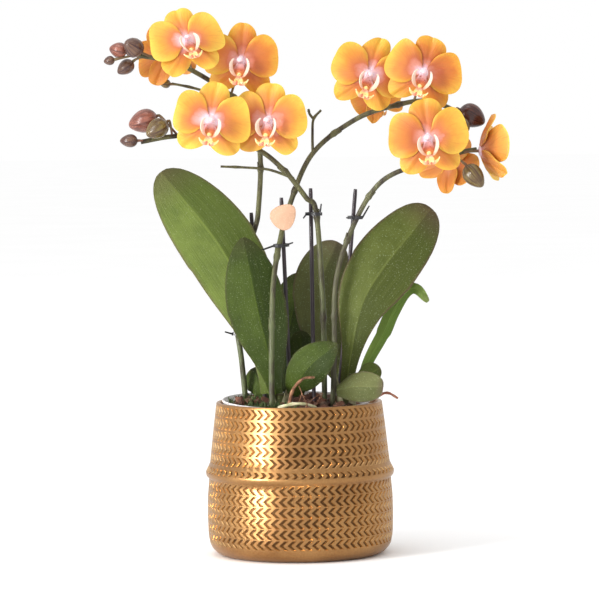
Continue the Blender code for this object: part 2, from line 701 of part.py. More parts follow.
def tepal_mesh():
    """The five tepals of an open flower on their shared hub, facing -Y, as one thin body."""
    bm = bmesh.new()
    hub = []
    for angle, half, length, width, across, front, curl in LOBES:
        turn = math.radians(angle)
        out = Vector((math.cos(turn), 0, math.sin(turn)))
        side = Vector((-math.sin(turn), 0, math.cos(turn)))
        shares = [2 * k / (across - 1) - 1 for k in range(across)]
        foot_angles = [turn + math.radians(half) * s for s in shares]
        row = [bm.verts.new(Vector((math.cos(a), 0, math.sin(a))) * FLOWER_HUB_R * MM)
               for a in foot_angles]
        hub += row
        foot = FLOWER_HUB_R * math.sin(math.radians(half))
        for t in LOBE_STEPS:
            reach = FLOWER_HUB_R + (length - FLOWER_HUB_R) * t
            wide = lobe_half_width(t, width, foot)
            depth = -front * math.sin(math.pi * min(1, t * 1.2) / 2) + curl * t * t
            upper = []
            for s in shares:
                rounding = 0.16 * length * s * s * t * t
                cup = 1.4 * s * s
                point = out * (reach - rounding) + side * (wide * s)
                upper.append(bm.verts.new((point + Vector((0, depth + cup, 0))) * MM))
            for k in range(across - 1):
                bm.faces.new((row[k], row[k + 1], upper[k + 1], upper[k]))
            row = upper
    bm.faces.new(hub)
    obj = mesh_object("tepals", bm, "petal")
    thicken(obj, TEPAL_THICK)
    return solid_mesh(obj)


def lip_mesh():
    """The column with the lip below it: two upright side lobes and a forked middle lobe."""
    pieces = [tube("column", [(0, -2.2, 0.5), (0, -9, 0.5)], (2.3, 2.8), 2, 6, "lip")]
    for hand in (-1, 1):
        edge = [(1.0, -8, -12), (6.2, -9.5, -7.5), (5.4, -9, -1.0), (1.8, -7.5, 1.0)]
        rows = []
        for x, y, z in edge:
            rows.append([Vector((hand * x, y - 2.2, z)) * MM,
                         Vector((hand * (x - 0.8), y + 2.6, z)) * MM])
        pieces.append(sheet("side_lobe", rows, 1.2, "lip"))
    middle = [(1.6, -9, -11), (3.0, -11.4, -15.5), (7.0, -10.5, -18.5)]
    rows = [[Vector((-w, y, z)) * MM, Vector((0, y, z)) * MM, Vector((w, y, z)) * MM]
            for w, y, z in middle]
    pieces.append(sheet("middle_lobe", rows, 1.4, "lip"))
    return solid_mesh(fuse(pieces))


def solid_mesh(obj):
    """The object's finished mesh, without the object."""
    mesh = evaluated(obj, obj.name)
    bpy.data.objects.remove(obj, do_unlink=True)
    return mesh


def flowers():
    tepals = tepal_mesh()
    lip = lip_mesh()
    for number, (owner, centre, turns, size, root) in enumerate(FLOWERS, 1):
        for name, mesh in ((f"flower_{number}", tepals), (f"flower_{number}_lip", lip)):
            obj = bpy.data.objects.new(name, mesh)
            bpy.context.scene.collection.objects.link(obj)
            obj.matrix_world = flower_matrix(centre, turns) @ Matrix.Scale(size, 4)


def buds():
    for name, owner, centre, tip, length, width, root in BUDS:
        egg(name, centre, tip, length, width, 8, 4, "bud")


def main():
    clear_scene()
    cutters = bpy.data.collections.new("bark_cutters")
    bpy.context.scene.collection.children.link(cutters)
    seat = pot_seat()
    cover_pot()
    grow_pot(seat)
    stakes(cutters)
    clips()
    plant_tag()
    crowns(cutters)
    leaves()
    spikes(cutters)
    roots()
    buds()
    flowers()
    bark_mix(seat, cutters)


main()
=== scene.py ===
"""Looks of the potted moth orchid: two plants with four flower spikes in a gold cover pot.

Metres, +Z up, the origin at the centre of the cover pot's base. Routes and places are in
millimetres, as the part's own are, and MM scales them.
"""
import math
import random

import bpy
from mathutils import Euler, Matrix, Vector, noise


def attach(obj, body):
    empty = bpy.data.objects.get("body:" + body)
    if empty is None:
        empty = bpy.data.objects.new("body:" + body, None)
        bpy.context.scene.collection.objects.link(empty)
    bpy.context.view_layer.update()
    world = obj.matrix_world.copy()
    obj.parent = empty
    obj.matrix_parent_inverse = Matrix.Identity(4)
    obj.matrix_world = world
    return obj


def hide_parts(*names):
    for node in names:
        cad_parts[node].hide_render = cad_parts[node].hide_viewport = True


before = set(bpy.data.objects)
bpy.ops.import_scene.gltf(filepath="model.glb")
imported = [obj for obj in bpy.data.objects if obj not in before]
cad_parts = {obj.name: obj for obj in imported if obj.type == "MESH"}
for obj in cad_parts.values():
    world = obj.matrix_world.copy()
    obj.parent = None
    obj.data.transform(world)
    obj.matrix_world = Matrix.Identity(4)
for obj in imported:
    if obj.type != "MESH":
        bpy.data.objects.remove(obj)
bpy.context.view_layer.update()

MM = 0.001
BODY = "root"

# ---- sizes, in millimetres -------------------------------------------------------------------
COVER_HEIGHT = 120.0
COVER_FLOOR = 4.0
CHEVRONS_ROUND = 72
COLUMNS_EACH = 2            # columns of faces for each chevron, one of them pressed in
CHEVRON_HEIGHT = 7.6
CHEVRON_LEAN = 3.3          # degrees that a chevron's point stands aside
UPPER_ROWS = (114.2, 104.8, 95.4, 86.0, 77.0)
LOWER_ROWS = (56.4, 48.0, 39.6, 31.2, 22.8, 14.4)
BEAD_ROW = (68.2, 4.6)      # middle and height of the short row on the bead's slope

BEAD_RINGS = (61.3, 62.6, 64.2, 65.4)
RIM_EDGE = 0.6              # from the last ring up to the rim
CHEVRON_INSET = 0.55
CHEVRON_DEPTH = 1.05
COVER_FOOT_R = 58.0         # where the rounded corner of the foot starts
COVER_FOOT_CORNER = 14.0

GROW_HEIGHT = 115.0
GROW_LIFT = 2.3
GROW_TILT = (2.2, 1.0)      # degrees about X and Y
GROW_RIM_AT = (-2.5, 0.0)
SPIN_MERGE = 0.05           # vertices nearer than this become one

CHIP_SIZES = ((13, 8, 4), (9, 6, 3.5), (11, 5, 3), (7, 6, 4))
CHIP_COUNT = 230
PERLITE_COUNT = 22
MOSS_COUNT = 320

STAKE_R = 1.6
TAG_R = 9.8
TAG_THICK = 0.8
SMALL_BEVEL = 0.3
CREASE = math.radians(50)   # edges sharper than this stay sharp

LEAF_THICK = 1.5
LEAF_STATIONS = 400
LEAF_ROWS = 44
SHORT_LEAF = 60.0           # a leaf shorter than this has fewer rows
SHORT_LEAF_ROWS = 22
WIDE_LEAF = 30              # a leaf wider than this has more columns

SPIKE_STATIONS = 150
SPIKE_R = 2.25
SPIKE_TAPER = 0.40
JOINT_SWELL = 0.85
JOINT_SPREAD = 0.007        # as a share of the spike's length
PETAL_REACH = 30.0

# ---- routes and places, in millimetres -------------------------------------------------------
SPIKES = {
    "flower_spike_1": [(-41, 22, 104), (-45, 22, 150), (-49, 22, 188), (-43, 15, 228),
                       (-33, 11.5, 256), (-30, 6, 272), (-28, -6, 312), (-34, -12, 345),
                       (-58, -16, 366), (-80, -24, 380), (-95, -30, 387), (-122, -30, 392)],
    "flower_spike_2": [(20, 4, 104), (20, 2, 160), (19, -5, 208), (15, -7, 269),
                       (8, -10, 279), (0, -13, 290), (-10, -15, 302), (-28, -16, 317),
                       (-58, -18, 330), (-95, -20, 329), (-120, -26, 325)],
    "flower_spike_3": [(-21, -29, 104), (-21, -31, 150), (-20, -32, 195), (-18, -28, 222),
                       (-13, -16, 248), (-7, -7, 270), (12, 0, 313), (46, -6, 340),
                       (78, -12, 351), (104, -14, 354), (127, -12, 345)],
    "flower_spike_4": [(26, -4, 104), (28, -12, 160), (30, -18, 216), (45, -15, 260),
                       (66, -24, 292), (98, -28, 306), (128, -24, 314), (140, -22, 316)],
}
# Where each spike has a joint, as shares of its length, and the side that its bract stands on.
JOINTS = {
    "flower_spike_1": [(0.20, -1), (0.37, 1), (0.58, -1), (0.76, -1)],
    "flower_spike_2": [(0.25, 1), (0.49, 1), (0.63, -1), (0.88, -1)],
    "flower_spike_3": [(0.22, -1), (0.38, -1), (0.54, 1), (0.70, 1), (0.86, 1)],
    "flower_spike_4": [(0.30, 1), (0.52, -1), (0.66, 1), (0.84, 1)],
}
TWIGS = [
    ("flower_spike_1", [(-36, -13, 347), (-57, -8, 359), (-78, -12, 366), (-96, -12, 370)]),
    ("flower_spike_2", [(-2, -13, 295), (-21, -12, 302), (-40, -11, 304), (-59, -11, 305)]),
    ("flower_spike_3", [(13, 0, 314), (13, 1, 330), (14, 1, 341), (20, 1, 348)]),
    ("flower_spike_3", [(14, 1, 341), (11, 1, 345), (10, 1, 349)]),
]
# Open flowers: spike, centre, (turn, nod, roll), size, stalk root, forward cup, depth of colour (partly
# the flower's own tone, partly painted shade on flowers in shade).
FLOWERS = [
    ("flower_spike_1", (-83, -48, 402), (10, -20, -12), 0.98, (-80, -24, 380), 0, 0.1),
    ("flower_spike_1", (-42, -28, 387), (-4, 4, 4), 1.0, (-50, -14, 361), 0, 0.85),
    ("flower_spike_2", (-65, -46, 341), (2, 2, 9), 1.02, (-70, -18, 330), 0, 0.2),
    ("flower_spike_2", (-21, -34, 340), (-10, 0, 4), 1.04, (-28, -16, 317), 0, 0.5),
    ("flower_spike_3", (57, -30, 375), (6, 4, 19), 1.0, (62, -9, 347), 0, 0.45),
    ("flower_spike_3", (99, -42, 376), (-4, 4, 16), 1.0, (92, -13, 354), 0, 0.75),
    ("flower_spike_4", (101, -56, 325), (-3, 0, -5), 1.06, (98, -28, 306), 0, 0.5),
    ("flower_spike_4", (143, -24, 315), (97, -4, 4), 0.94, (128, -24, 314), 20, 0.7),
    ("flower_spike_1", (-99, -12, 393), (168, 6, 23), 0.86, (-90, -28, 385), 0, 0.7),
    ("flower_spike_3", (64, 14, 357), (196, 26, 24), 0.72, (70, -10, 349), 6, 0.9),
    ("flower_spike_4", (119, -8, 306), (148, 20, -30), 0.84, (112, -26, 311), 4, 0.7),
]
# Buds: CAD node or None, spike, centre, tip direction, length, width, stalk root, colour.
BUDS = [
    ("bud_1", "flower_spike_1", (-124, -41, 398), (-0.6, -0.6, 0.4), 16, 15, (-110, -30, 390), "purple"),
    ("bud_2", "flower_spike_1", (-131, -25, 383), (-0.8, 0, -0.6), 14, 11, (-116, -30, 391), "purple"),
    ("bud_3", "flower_spike_2", (-107, -31, 335), (-0.8, -0.3, -0.5), 18, 15, (-96, -20, 329), "olive"),
    ("bud_4", "flower_spike_2", (-118, -15, 341), (-1, 0, -0.3), 22, 18, (-92, -20, 330), "salmon"),
    ("bud_5", "flower_spike_3", (137, -8, 342), (0.9, 0, -0.5), 21, 18, (126, -12, 346), "dark"),
    ("bud_6", "flower_spike_4", (137, -38, 296), (0.6, -0.3, -0.8), 20, 15, (121, -25, 312), "olive"),
    (None, "flower_spike_1", (-136, -33, 396), (-1, 0, 0.2), 13, 12, (-120, -30, 392), "salmon"),
    (None, "flower_spike_1", (-143, -36, 388), (-1, 0, -0.2), 8, 7, (-124, -31, 392), "purple"),
    (None, "flower_spike_1", (-101, -12, 370), (-1, 0, 0.1), 8, 7, (-90, -12, 369), "olive"),
    (None, "flower_spike_2", (-129, -27, 326), (-1, 0, 0), 13, 10, (-117, -25, 325), "purple"),
    (None, "flower_spike_3", (130, -24, 335), (0.5, -0.5, -0.7), 12, 10, (122, -12, 347), "olive"),
]
STAKES = {
    "stake_1": ((-22, 10, 40), (-36, 17, 268)),
    "stake_2": ((-4, -3, 40), (-12, -3, 280)),
    "stake_3": ((12, 1, 40), (11, -1, 287)),
    "stake_4": ((24, 16, 40), (46, -8, 286)),
}
# Leaves: route, width, width at the base, widest share, fold, underside, finish.
# SHAPES holds how slowly a leaf swells from its foot and how sharp its tip is.
SHAPES = {
    "right_tall_leaf": (3.0, 0.42), "left_inner_leaf": (1.8, 0.70), "front_leaf": (1.5, 0.85),
    "right_low_leaf": (1.2, 0.40), "back_leaf": (1.2, 0.45),
}
LEAVES = {
    "left_tall_leaf": ([(-24, 3, 126), (-28, 4, 168), (-57, 2, 236), (-106, 0, 301)],
                       60, 12, 0.60, 0.10, (0, -1, 0), "leaf_light"),
    "left_inner_leaf": ([(-18, -14, 127), (-24, -20, 160), (-32, -24, 195), (-42, -32, 250)],
                        46, 11, 0.52, 0.12, (0, -1, 0), "leaf_deep"),
    "left_low_leaf": ([(-22, 14, 124), (-29, 24, 131), (-38, 31, 143)],
                      22, 8, 0.55, 0.08, (0, -1, 0), "leaf_deep"),
    "front_leaf": ([(-5, -16, 126), (-2, -30, 136), (10, -40, 152), (30, -46, 168)],
                   30, 9, 0.50, 0.10, (0, -1, 0.2), "leaf_deep"),
    "left_back_leaf": ([(-12, 12, 127), (-10, 44, 160), (-4, 60, 190), (2, 72, 217)],
                       36, 9, 0.60, 0.10, (0, -1, 0), "leaf_deep"),
    "back_small_leaf": ([(0, 12, 124), (2, 20, 148), (2, 23, 174)],
                        22, 8, 0.55, 0.10, (0, -1, 0), "leaf_deep"),
    "back_leaf": ([(39, 10, 127), (29, 24, 150), (19, 35, 184), (19, 40, 214),
                   (32, 42, 243)], 43, 9, 0.64, 0.10, (0, -1, 0), "leaf_dull"),
    "right_tall_leaf": ([(37, 0, 127), (40, -5, 150), (50, -10, 196), (68, -9, 226),
                         (88, -5, 250), (105, 0, 270)], 53, 11, 0.62, 0.05, (0, -1, 0), "leaf_edged"),
    "right_strap_leaf": ([(47, 7, 125), (54, 10, 148), (67, 11, 172), (74, 9, 188),
                          (84, 5, 204), (93, 2, 207), (102, -1, 197)], 10, 6, 0.45, 0.12, (0, -1, 0),
                         "leaf_fresh"),
    "right_low_leaf": ([(30, -15, 129), (45, -29, 133), (65, -38, 133)],
                       24, 9, 0.50, 0.08, (0, -1, 0.3), "leaf_dull"),
    "right_small_leaf": ([(48, 2, 128), (54, 3, 139), (64, 3, 145)],
                         16, 7, 0.55, 0.08, (0, -1, 0), "leaf_light"),
}
CROWNS = {"left_crown": (-15.5, -3), "right_crown": (37, -3)}
ROOTS = {
    "dry_sheath": ([(-8, -45, 119), (-5, -47, 132), (3, -48, 141), (12, -46, 142)], 1.5,
                   "dry"),
    "red_root": ([(57, -15, 121), (64, -18, 126), (70, -20, 127), (77, -22, 123)], 1.4,
                 "red"),
    "pale_root": ([(-16, -50, 119), (-6, -53, 122), (4, -52, 122), (13, -46, 119)], 1.5,
                  "pale"),
}
# Hanging fibres in the bark: route and radius.
FIBRES = [
    ([(-2, -49, 119), (2, -52, 130), (0, -55, 136), (6, -57, 122), (9, -60, 119)], 0.25),
    ([(12, -40, 118), (18, -50, 130), (8, -56, 124), (4, -60, 119)], 0.25),
]
TAG_CENTRE = (-11, -20, 265)


# ---- making and finishing pieces -------------------------------------------------------------
def active():
    return bpy.context.view_layer.objects.active


def deselect():
    if active() and active().mode != "OBJECT":
        bpy.ops.object.mode_set(mode="OBJECT")
    bpy.ops.object.select_all(action="DESELECT")


def pick(obj):
    """Makes obj the only selected object, and the active one."""
    deselect()
    obj.select_set(True)
    bpy.context.view_layer.objects.active = obj


def made(operator, name, **settings):
    """What an operator adds to the scene, under its own name."""
    deselect()
    operator(**settings)
    active().name = name
    return active()


def turned(x, y, z):
    """A turn about each axis, in radians."""
    return Euler((x, y, z)).to_matrix().to_4x4()


def moved(place):
    """A move to a place in millimetres."""
    return Matrix.Translation(Vector(place) * MM)


def apply_modifier(obj, kind, **settings):
    pick(obj)
    modifier = obj.modifiers.new(kind.lower(), kind)
    for key, value in settings.items():
        setattr(modifier, key, value)
    bpy.ops.object.modifier_apply(modifier=modifier.name)


def join(pieces, name):
    deselect()
    for piece in pieces:
        piece.select_set(True)
    bpy.context.view_layer.objects.active = pieces[0]
    if len(pieces) > 1:
        bpy.ops.object.join()
    active().name = name
    return active()


def settle(piece, slot, *nodes):
    """Puts the piece's place in its mesh, smooths it, hangs it on the body and hides its CAD nodes; slot
    is not used.
    """
    pick(piece)
    bpy.ops.object.transform_apply(location=True, rotation=True, scale=True)
    bpy.ops.object.shade_smooth_by_angle(angle=CREASE)
    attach(piece, BODY)
    if nodes:
        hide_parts(*nodes)
    return piece


def copy_of(piece, name):
    """A copy with its own mesh."""
    twin = piece.copy()
    twin.data = piece.data.copy()
    twin.name = name
    bpy.context.scene.collection.objects.link(twin)
    return twin


def smooth_path(points, count):
    """count evenly spaced points along a smooth curve through the given points."""
    points = [Vector(p) for p in points]
    ends = [2 * points[0] - points[1]] + points + [2 * points[-1] - points[-2]]
    dense = []
    steps = 12
    for i in range(1, len(ends) - 2):
        p0, p1, p2, p3 = ends[i - 1:i + 3]
        for k in range(steps):
            t = k / steps
            dense.append(0.5 * (2 * p1 + (p2 - p0) * t + (2 * p0 - 5 * p1 + 4 * p2 - p3) * t * t
                                + (3 * p1 - p0 - 3 * p2 + p3) * t ** 3))
    dense.append(points[-1].copy())
    run = [0.0]
    for a, b in zip(dense, dense[1:]):
        run.append(run[-1] + (b - a).length)
    out, j = [], 0
    for i in range(count):
        goal = run[-1] * i / (count - 1)
        while j < len(run) - 2 and run[j + 1] < goal:
            j += 1
        share = (goal - run[j]) / (run[j + 1] - run[j])
        out.append(dense[j].lerp(dense[j + 1], share))
    return out


def along(path, i):
    return (path[min(i + 1, len(path) - 1)] - path[max(i - 1, 0)]).normalized()


def cane(name, points, radii, count, material, sides=2):
    """A round stem along a route in millimetres, of radius radii(share), with closed ends."""
    stem = made(bpy.ops.curve.primitive_bezier_curve_add, name)
    curve = stem.data
    curve.splines.clear()
    spline = curve.splines.new("POLY")
    path = smooth_path(points, count)
    spline.points.add(count - 1)
    for i, (place, point) in enumerate(zip(path, spline.points)):
        point.co = (*(place * MM), 1)
        point.radius = radii(i / (count - 1))
    curve.bevel_depth = MM
    curve.bevel_resolution = sides
    curve.use_fill_caps = True
    pick(stem)
    bpy.ops.object.convert(target="MESH")
    stem = active()
    apply_modifier(stem, "WELD", merge_threshold=0.00002)
    stem.data.materials.clear()
    stem.data.materials.append(material)
    return stem


def patch(name, columns, rows, place, thickness, *materials):
    """A thin shell on a grid: place(u, v) in millimetres, u across from -1 to 1, v from 0 to 1."""
    piece = made(bpy.ops.mesh.primitive_grid_add, name, x_subdivisions=columns,
                 y_subdivisions=rows, size=2)
    for vertex in piece.data.vertices:
        vertex.co = place(vertex.co.x, (vertex.co.y + 1) / 2) * MM
    for material in materials:
        piece.data.materials.append(material)
    apply_modifier(piece, "SOLIDIFY", thickness=thickness * MM, offset=0.0,
                   material_offset=len(materials) - 1)
    return piece


# ---- materials -------------------------------------------------------------------------------
class Finish:
    """A procedural material, built up from noise, cells and colour ramps."""

    def __init__(self, name, roughness, **sockets):
        self.material = bpy.data.materials.new(name)
        self.material.use_nodes = True
        self.tree = self.material.node_tree
        self.shader = self.tree.nodes["Principled BSDF"]
        self.shader.inputs["Roughness"].default_value = roughness
        for key, value in sockets.items():
            self.shader.inputs[key.replace("_", " ")].default_value = value
        self.coords = self.tree.nodes.new("ShaderNodeTexCoord")

    def feed(self, socket, value):
        """Links another node's output to a socket, or gives the socket a plain value."""
        if isinstance(value, bpy.types.NodeSocket):
            self.tree.links.new(value, socket)
        else:
            socket.default_value = (*value, 1) if socket.type == "RGBA" else value

    def node(self, kind, **inputs):
        """A new node, with its inputs fed by name."""
        node = self.tree.nodes.new("ShaderNode" + kind)
        for key, value in inputs.items():
            self.feed(node.inputs[key.replace("_", " ")], value)
        return node

    def axis(self, kind, letter):
        """One Object or UV coordinate by itself."""
        return self.node("SeparateXYZ", Vector=self.coords.outputs[kind]).outputs[letter]

    def space(self, kind="Object", scale=(1, 1, 1)):
        """Object or UV coordinates, stretched by scale."""
        return self.node("Mapping", Scale=scale, Vector=self.coords.outputs[kind]).outputs["Vector"]

    def noise(self, scale, detail=4.0, roughness=0.55, kind="Object", stretch=(1, 1, 1)):
        return self.node("TexNoise", Scale=scale, Detail=detail, Roughness=roughness,
                         Vector=self.space(kind, stretch)).outputs["Fac"]

    def cells(self, scale):
        return self.node("TexVoronoi", Scale=scale, Vector=self.space()).outputs["Distance"]

    def attribute(self, name):
        node = self.node("Attribute")
        node.attribute_name = name
        return node.outputs["Fac"]

    def maths(self, operation, a, b):
        node = self.node("Math")
        node.operation = operation
        for socket, value in zip(node.inputs, (a, b)):
            self.feed(socket, value)
        return node.outputs["Value"]

    def ramp(self, factor, stops):
        """A colour ramp from a list of (place, (red, green, blue))."""
        node = self.node("ValToRGB", Fac=factor)
        elements = node.color_ramp.elements
        while len(elements) < len(stops):
            elements.new(0.5)
        for element, (place, colour) in zip(elements, stops):
            element.position = place
            element.color = (*colour, 1)
        return node.outputs["Color"]

    def mask(self, factor, low, high):
        """0 below low, 1 above high."""
        return self.ramp(factor, [(low, (0, 0, 0)), (high, (1, 1, 1))])

    def mix(self, factor, a, b):
        node = self.node("Mix")
        node.data_type = "RGBA"
        self.feed(node.inputs["Factor"], factor)
        for socket, value in zip([s for s in node.inputs if s.type == "RGBA"], (a, b)):
            self.feed(socket, value)
        return next(s for s in node.outputs if s.type == "RGBA")

    def paint(self, colour):
        self.feed(self.shader.inputs["Base Color"], colour)

    def gloss(self, factor, low, high):
        """Roughness from low to high as the factor goes from 0 to 1."""
        node = self.node("MapRange", Value=factor, To_Min=low, To_Max=high)
        self.feed(self.shader.inputs["Roughness"], node.outputs["Result"])

    def bump(self, height, depth):
        """Relief of the given depth in millimetres."""
        node = self.node("Bump", Distance=depth * MM, Height=height)
        self.feed(self.shader.inputs["Normal"], node.outputs["Normal"])


def gold_finish(name, light, dark, roughness):
    finish = Finish(name, roughness, Metallic=0.92)
    fine = finish.noise(700, 3)
    cloud = finish.noise(28, 5)
    colour = finish.ramp(cloud, [(0.3, dark), (0.7, light)])
    finish.paint(finish.mix(0.4, colour, finish.ramp(fine, [(0.35, dark), (0.65, light)])))
    finish.gloss(cloud, roughness - 0.05, roughness + 0.1)
    finish.bump(finish.maths("ADD", fine, finish.noise(160, 4)), 0.06)
    return finish.material


def petal_finish(name, back):
    """Margins yellow, body orange, salmon towards the pink and white foot, with fine veins."""
    finish = Finish(name, 0.5, Subsurface_Weight=0.12, Subsurface_Scale=0.003)
    run = finish.axis("UV", "Y")
    cloud = finish.noise(60, 3)
    waver = finish.maths("ADD", run, finish.maths("MULTIPLY", finish.maths("SUBTRACT", cloud, 0.5),
                                                 0.6))
    pale = finish.ramp(waver, [(0.0, (0.90, 0.70, 0.78)), (0.14, (0.82, 0.44, 0.42)),
                               (0.34, (0.66, 0.190, 0.062)), (0.64, (0.76, 0.33, 0.038)),
                               (1.0, (0.80, 0.54, 0.062))])
    deep = finish.ramp(waver, [(0.0, (0.86, 0.56, 0.64)), (0.13, (0.60, 0.22, 0.15)),
                               (0.34, (0.42, 0.092, 0.022)), (0.70, (0.55, 0.165, 0.014)),
                               (1.0, (0.70, 0.35, 0.028))])
    # The depth attribute leans towards the deep colours: partly each flower's own tone, partly painted
    # shade.
    colour = finish.mix(finish.attribute("depth"), pale, deep)
    if back:
        colour = finish.mix(0.55, colour, (0.56, 0.20, 0.035))
    veins = finish.noise(1.6, 3, kind="UV", stretch=(34, 1.6, 1))
    lined = finish.mix(finish.mask(veins, 0.52, 0.68), colour, (0.45, 0.12, 0.02))
    finish.paint(finish.mix(0.20 if not back else 0.45, colour, lined))
    finish.bump(veins, 0.25)
    return finish.material


def lip_finish(name, stops, spots):
    finish = Finish(name, 0.5, Subsurface_Weight=0.1, Subsurface_Scale=0.002,
                    Specular_IOR_Level=0.3)
    base = finish.ramp(finish.axis("UV", "Y"), stops)
    dots = finish.mask(finish.noise(900, 2), 0.60, 0.68)
    finish.paint(finish.mix(dots, base, spots))
    finish.bump(finish.noise(500, 3), 0.12)
    return finish.material


def leaf_finish(name, light, dark, edge, speckle_and_glint):
    finish = Finish(name, 0.42, Specular_IOR_Level=0.14)
    across = finish.axis("UV", "X")
    # One long half of each leaf is painted lighter and the other darker: painted light and shade from
    # the lamp at the left, so light and dark are also the lit and the shaded half.
    side = finish.mask(across, 0.47, 0.53)
    cloud = finish.noise(38, 6, 0.65)
    base = finish.mix(side, light, dark)
    mottled = finish.mix(finish.mask(cloud, 0.35, 0.7), base, dark)
    grain = finish.noise(1.2, 4, kind="UV", stretch=(90, 3, 1))
    striped = finish.mix(finish.maths("MULTIPLY", finish.mask(grain, 0.4, 0.7), 0.35), mottled,
                         tuple(1.35 * c for c in light))
    centre = finish.maths("ABSOLUTE", finish.maths("SUBTRACT", across, 0.5), 0)
    keel = finish.mask(centre, 0.004, 0.02)
    keeled = finish.mix(keel, tuple(1.1 * c for c in light), striped)
    rim = finish.mask(centre, 0.455, 0.5)
    tip = finish.mask(finish.axis("UV", "Y"), 0.72, 1.0)
    worn = finish.maths("MULTIPLY", finish.maths("MAXIMUM", rim, tip), 0.75)
    tinged = finish.mix(worn, keeled, edge)
    # Fine pale dots: partly the leaf's own speckles, partly painted glints.
    dots = finish.mask(finish.noise(950, 2), 0.62, 0.68)
    finish.paint(finish.mix(finish.maths("MULTIPLY", dots, speckle_and_glint), tinged,
                            (0.26, 0.30, 0.17)))
    finish.gloss(cloud, 0.30, 0.46)
    finish.bump(finish.maths("ADD", finish.maths("MULTIPLY", grain, 1.6), cloud), 0.35)
    return finish.material


def stem_finish(name, low, high, edge):
    """Stems: their colour turns from low to high as they rise, mottled with edge."""
    finish = Finish(name, 0.48, Specular_IOR_Level=0.3)
    rise = finish.maths("MULTIPLY", finish.axis("Object", "Z"), 2.5)
    cloud = finish.noise(160, 5, stretch=(1, 1, 0.35))
    base = finish.ramp(rise, [(0.45, low), (0.78, high)])
    finish.paint(finish.mix(finish.mask(cloud, 0.42, 0.66), base, edge))
    finish.bump(finish.noise(1400, 3, stretch=(1, 1, 0.12)), 0.1)
    return finish.material


def bud_finish(name, light, dark):
    finish = Finish(name, 0.24)
    ribs = finish.noise(1.0, 3, kind="UV", stretch=(26, 1.2, 1))
    cloud = finish.noise(120, 4)
    colour = finish.mix(finish.mask(ribs, 0.42, 0.6), light, dark)
    finish.paint(finish.mix(finish.mask(cloud, 0.45, 0.75), colour, dark))
    finish.bump(ribs, 0.3)
    return finish.material


def rough_finish(name, tones, scale, depth, roughness=0.85):
    """Bark, moss, roots and other dry or mottled stuff, from dark to light tones."""
    finish = Finish(name, roughness)
    cloud = finish.noise(scale, 6, 0.65)
    shares = [0.3 + 0.4 * i / (len(tones) - 1) for i in range(len(tones))]
    finish.paint(finish.ramp(cloud, list(zip(shares, tones))))
    finish.bump(finish.noise(scale * 3, 5), depth)
    return finish.material


def clear_finish(name):
    """Milky clear plastic of the grow pot."""
    finish = Finish(name, 0.22, Transmission_Weight=0.2, IOR=1.46)
    cloud = finish.noise(60, 3)
    finish.paint(finish.ramp(cloud, [(0.3, (0.80, 0.74, 0.74)), (0.7, (0.92, 0.90, 0.90))]))
    finish.bump(finish.noise(200, 2, stretch=(1, 1, 0.2)), 0.05)
    return finish.material


def tag_finish(name):
    finish = Finish(name, 0.5)
    glints = finish.mask(finish.cells(900), 0.02, 0.22)
    peach = finish.ramp(finish.noise(90, 3),
                        [(0.3, (0.50, 0.29, 0.180)), (0.7, (0.59, 0.355, 0.23))])
    finish.paint(finish.mix(glints, (0.85, 0.70, 0.55), peach))
    finish.bump(glints, 0.08)
    return finish.material


def plastic_finish(name, dark, light, roughness):
    finish = Finish(name, roughness)
    cloud = finish.noise(700, 3, stretch=(1, 1, 0.1))
    finish.paint(finish.ramp(cloud, [(0.35, dark), (0.7, light)]))
    finish.bump(cloud, 0.08)
    return finish.material


# ---- cover pot and grow pot ------------------------------------------------------------------
def cover_radius(z):
    """The cover pot's outer radius at a height, without its chevrons."""
    shape = [(10.6, 71.4), (14.4, 72.1), (18.2, 72.5), (30, 72.9), (46, 72.7), (58, 71.6),
             (60.5, 71.4), (61.5, 72.6),
             (63, 73.8), (65, 74), (66.5, 73.7), (69.5, 72.1), (72.5, 70.6), (84, 69.3),
             (100, 67.5), (119, 65.1)]
    for (low, a), (high, b) in zip(shape, shape[1:]):
        if z <= high:
            return a + (b - a) * max(0, z - low) / (high - low)
    return shape[-1][1]


def chevron_rings():
    """Every ring above the foot: (height, lean in degrees, whether the strip above is pressed)."""
    rings = []

    def row(middle, height, lean):
        rings.extend([(middle - height / 2, 0, True), (middle, lean, True),
                      (middle + height / 2, 0, False)])

    for middle in reversed(LOWER_ROWS):
        row(middle, CHEVRON_HEIGHT, -CHEVRON_LEAN)
    rings += [(z, 0, False) for z in BEAD_RINGS]
    row(*BEAD_ROW, CHEVRON_LEAN * 0.6)
    for middle in reversed(UPPER_ROWS):
        row(middle, CHEVRON_HEIGHT, CHEVRON_LEAN)
    rings.append((COVER_HEIGHT - RIM_EDGE, 0, False))
    return rings


def on_wall(place, z):
    """Whether a place in millimetres is on the cover pot's outside, near the height z."""
    return math.hypot(place.x, place.y) > cover_radius(z) - 1


def pick_chevrons(pot, rings, columns):
    """Selects one column of faces in COLUMNS_EACH, in the strips that are pressed in."""
    pressed = [(low[0] + high[0]) / 2 for low, high in zip(rings, rings[1:]) if low[2]]
    bpy.context.tool_settings.mesh_select_mode = (False, False, True)
    for polygon in pot.data.polygons:
        middle = polygon.center / MM
        column = math.floor(math.atan2(middle.y, middle.x) / math.tau * columns + 0.001)
        near = min(abs(middle.z - z) for z in pressed)
        polygon.select = (near < 0.4 and column % COLUMNS_EACH == 0
                          and on_wall(middle, middle.z))


def lean_rings(pot, rings):
    """Turns the middle ring of each row of chevrons, which makes their points."""
    leans = [(z, lean) for z, lean, pressed in rings if lean]
    for vertex in pot.data.vertices:
        place = vertex.co / MM
        for z, lean in leans:
            if abs(place.z - z) < 0.05 and on_wall(place, z):
                vertex.co = Matrix.Rotation(math.radians(lean), 3, "Z") @ vertex.co


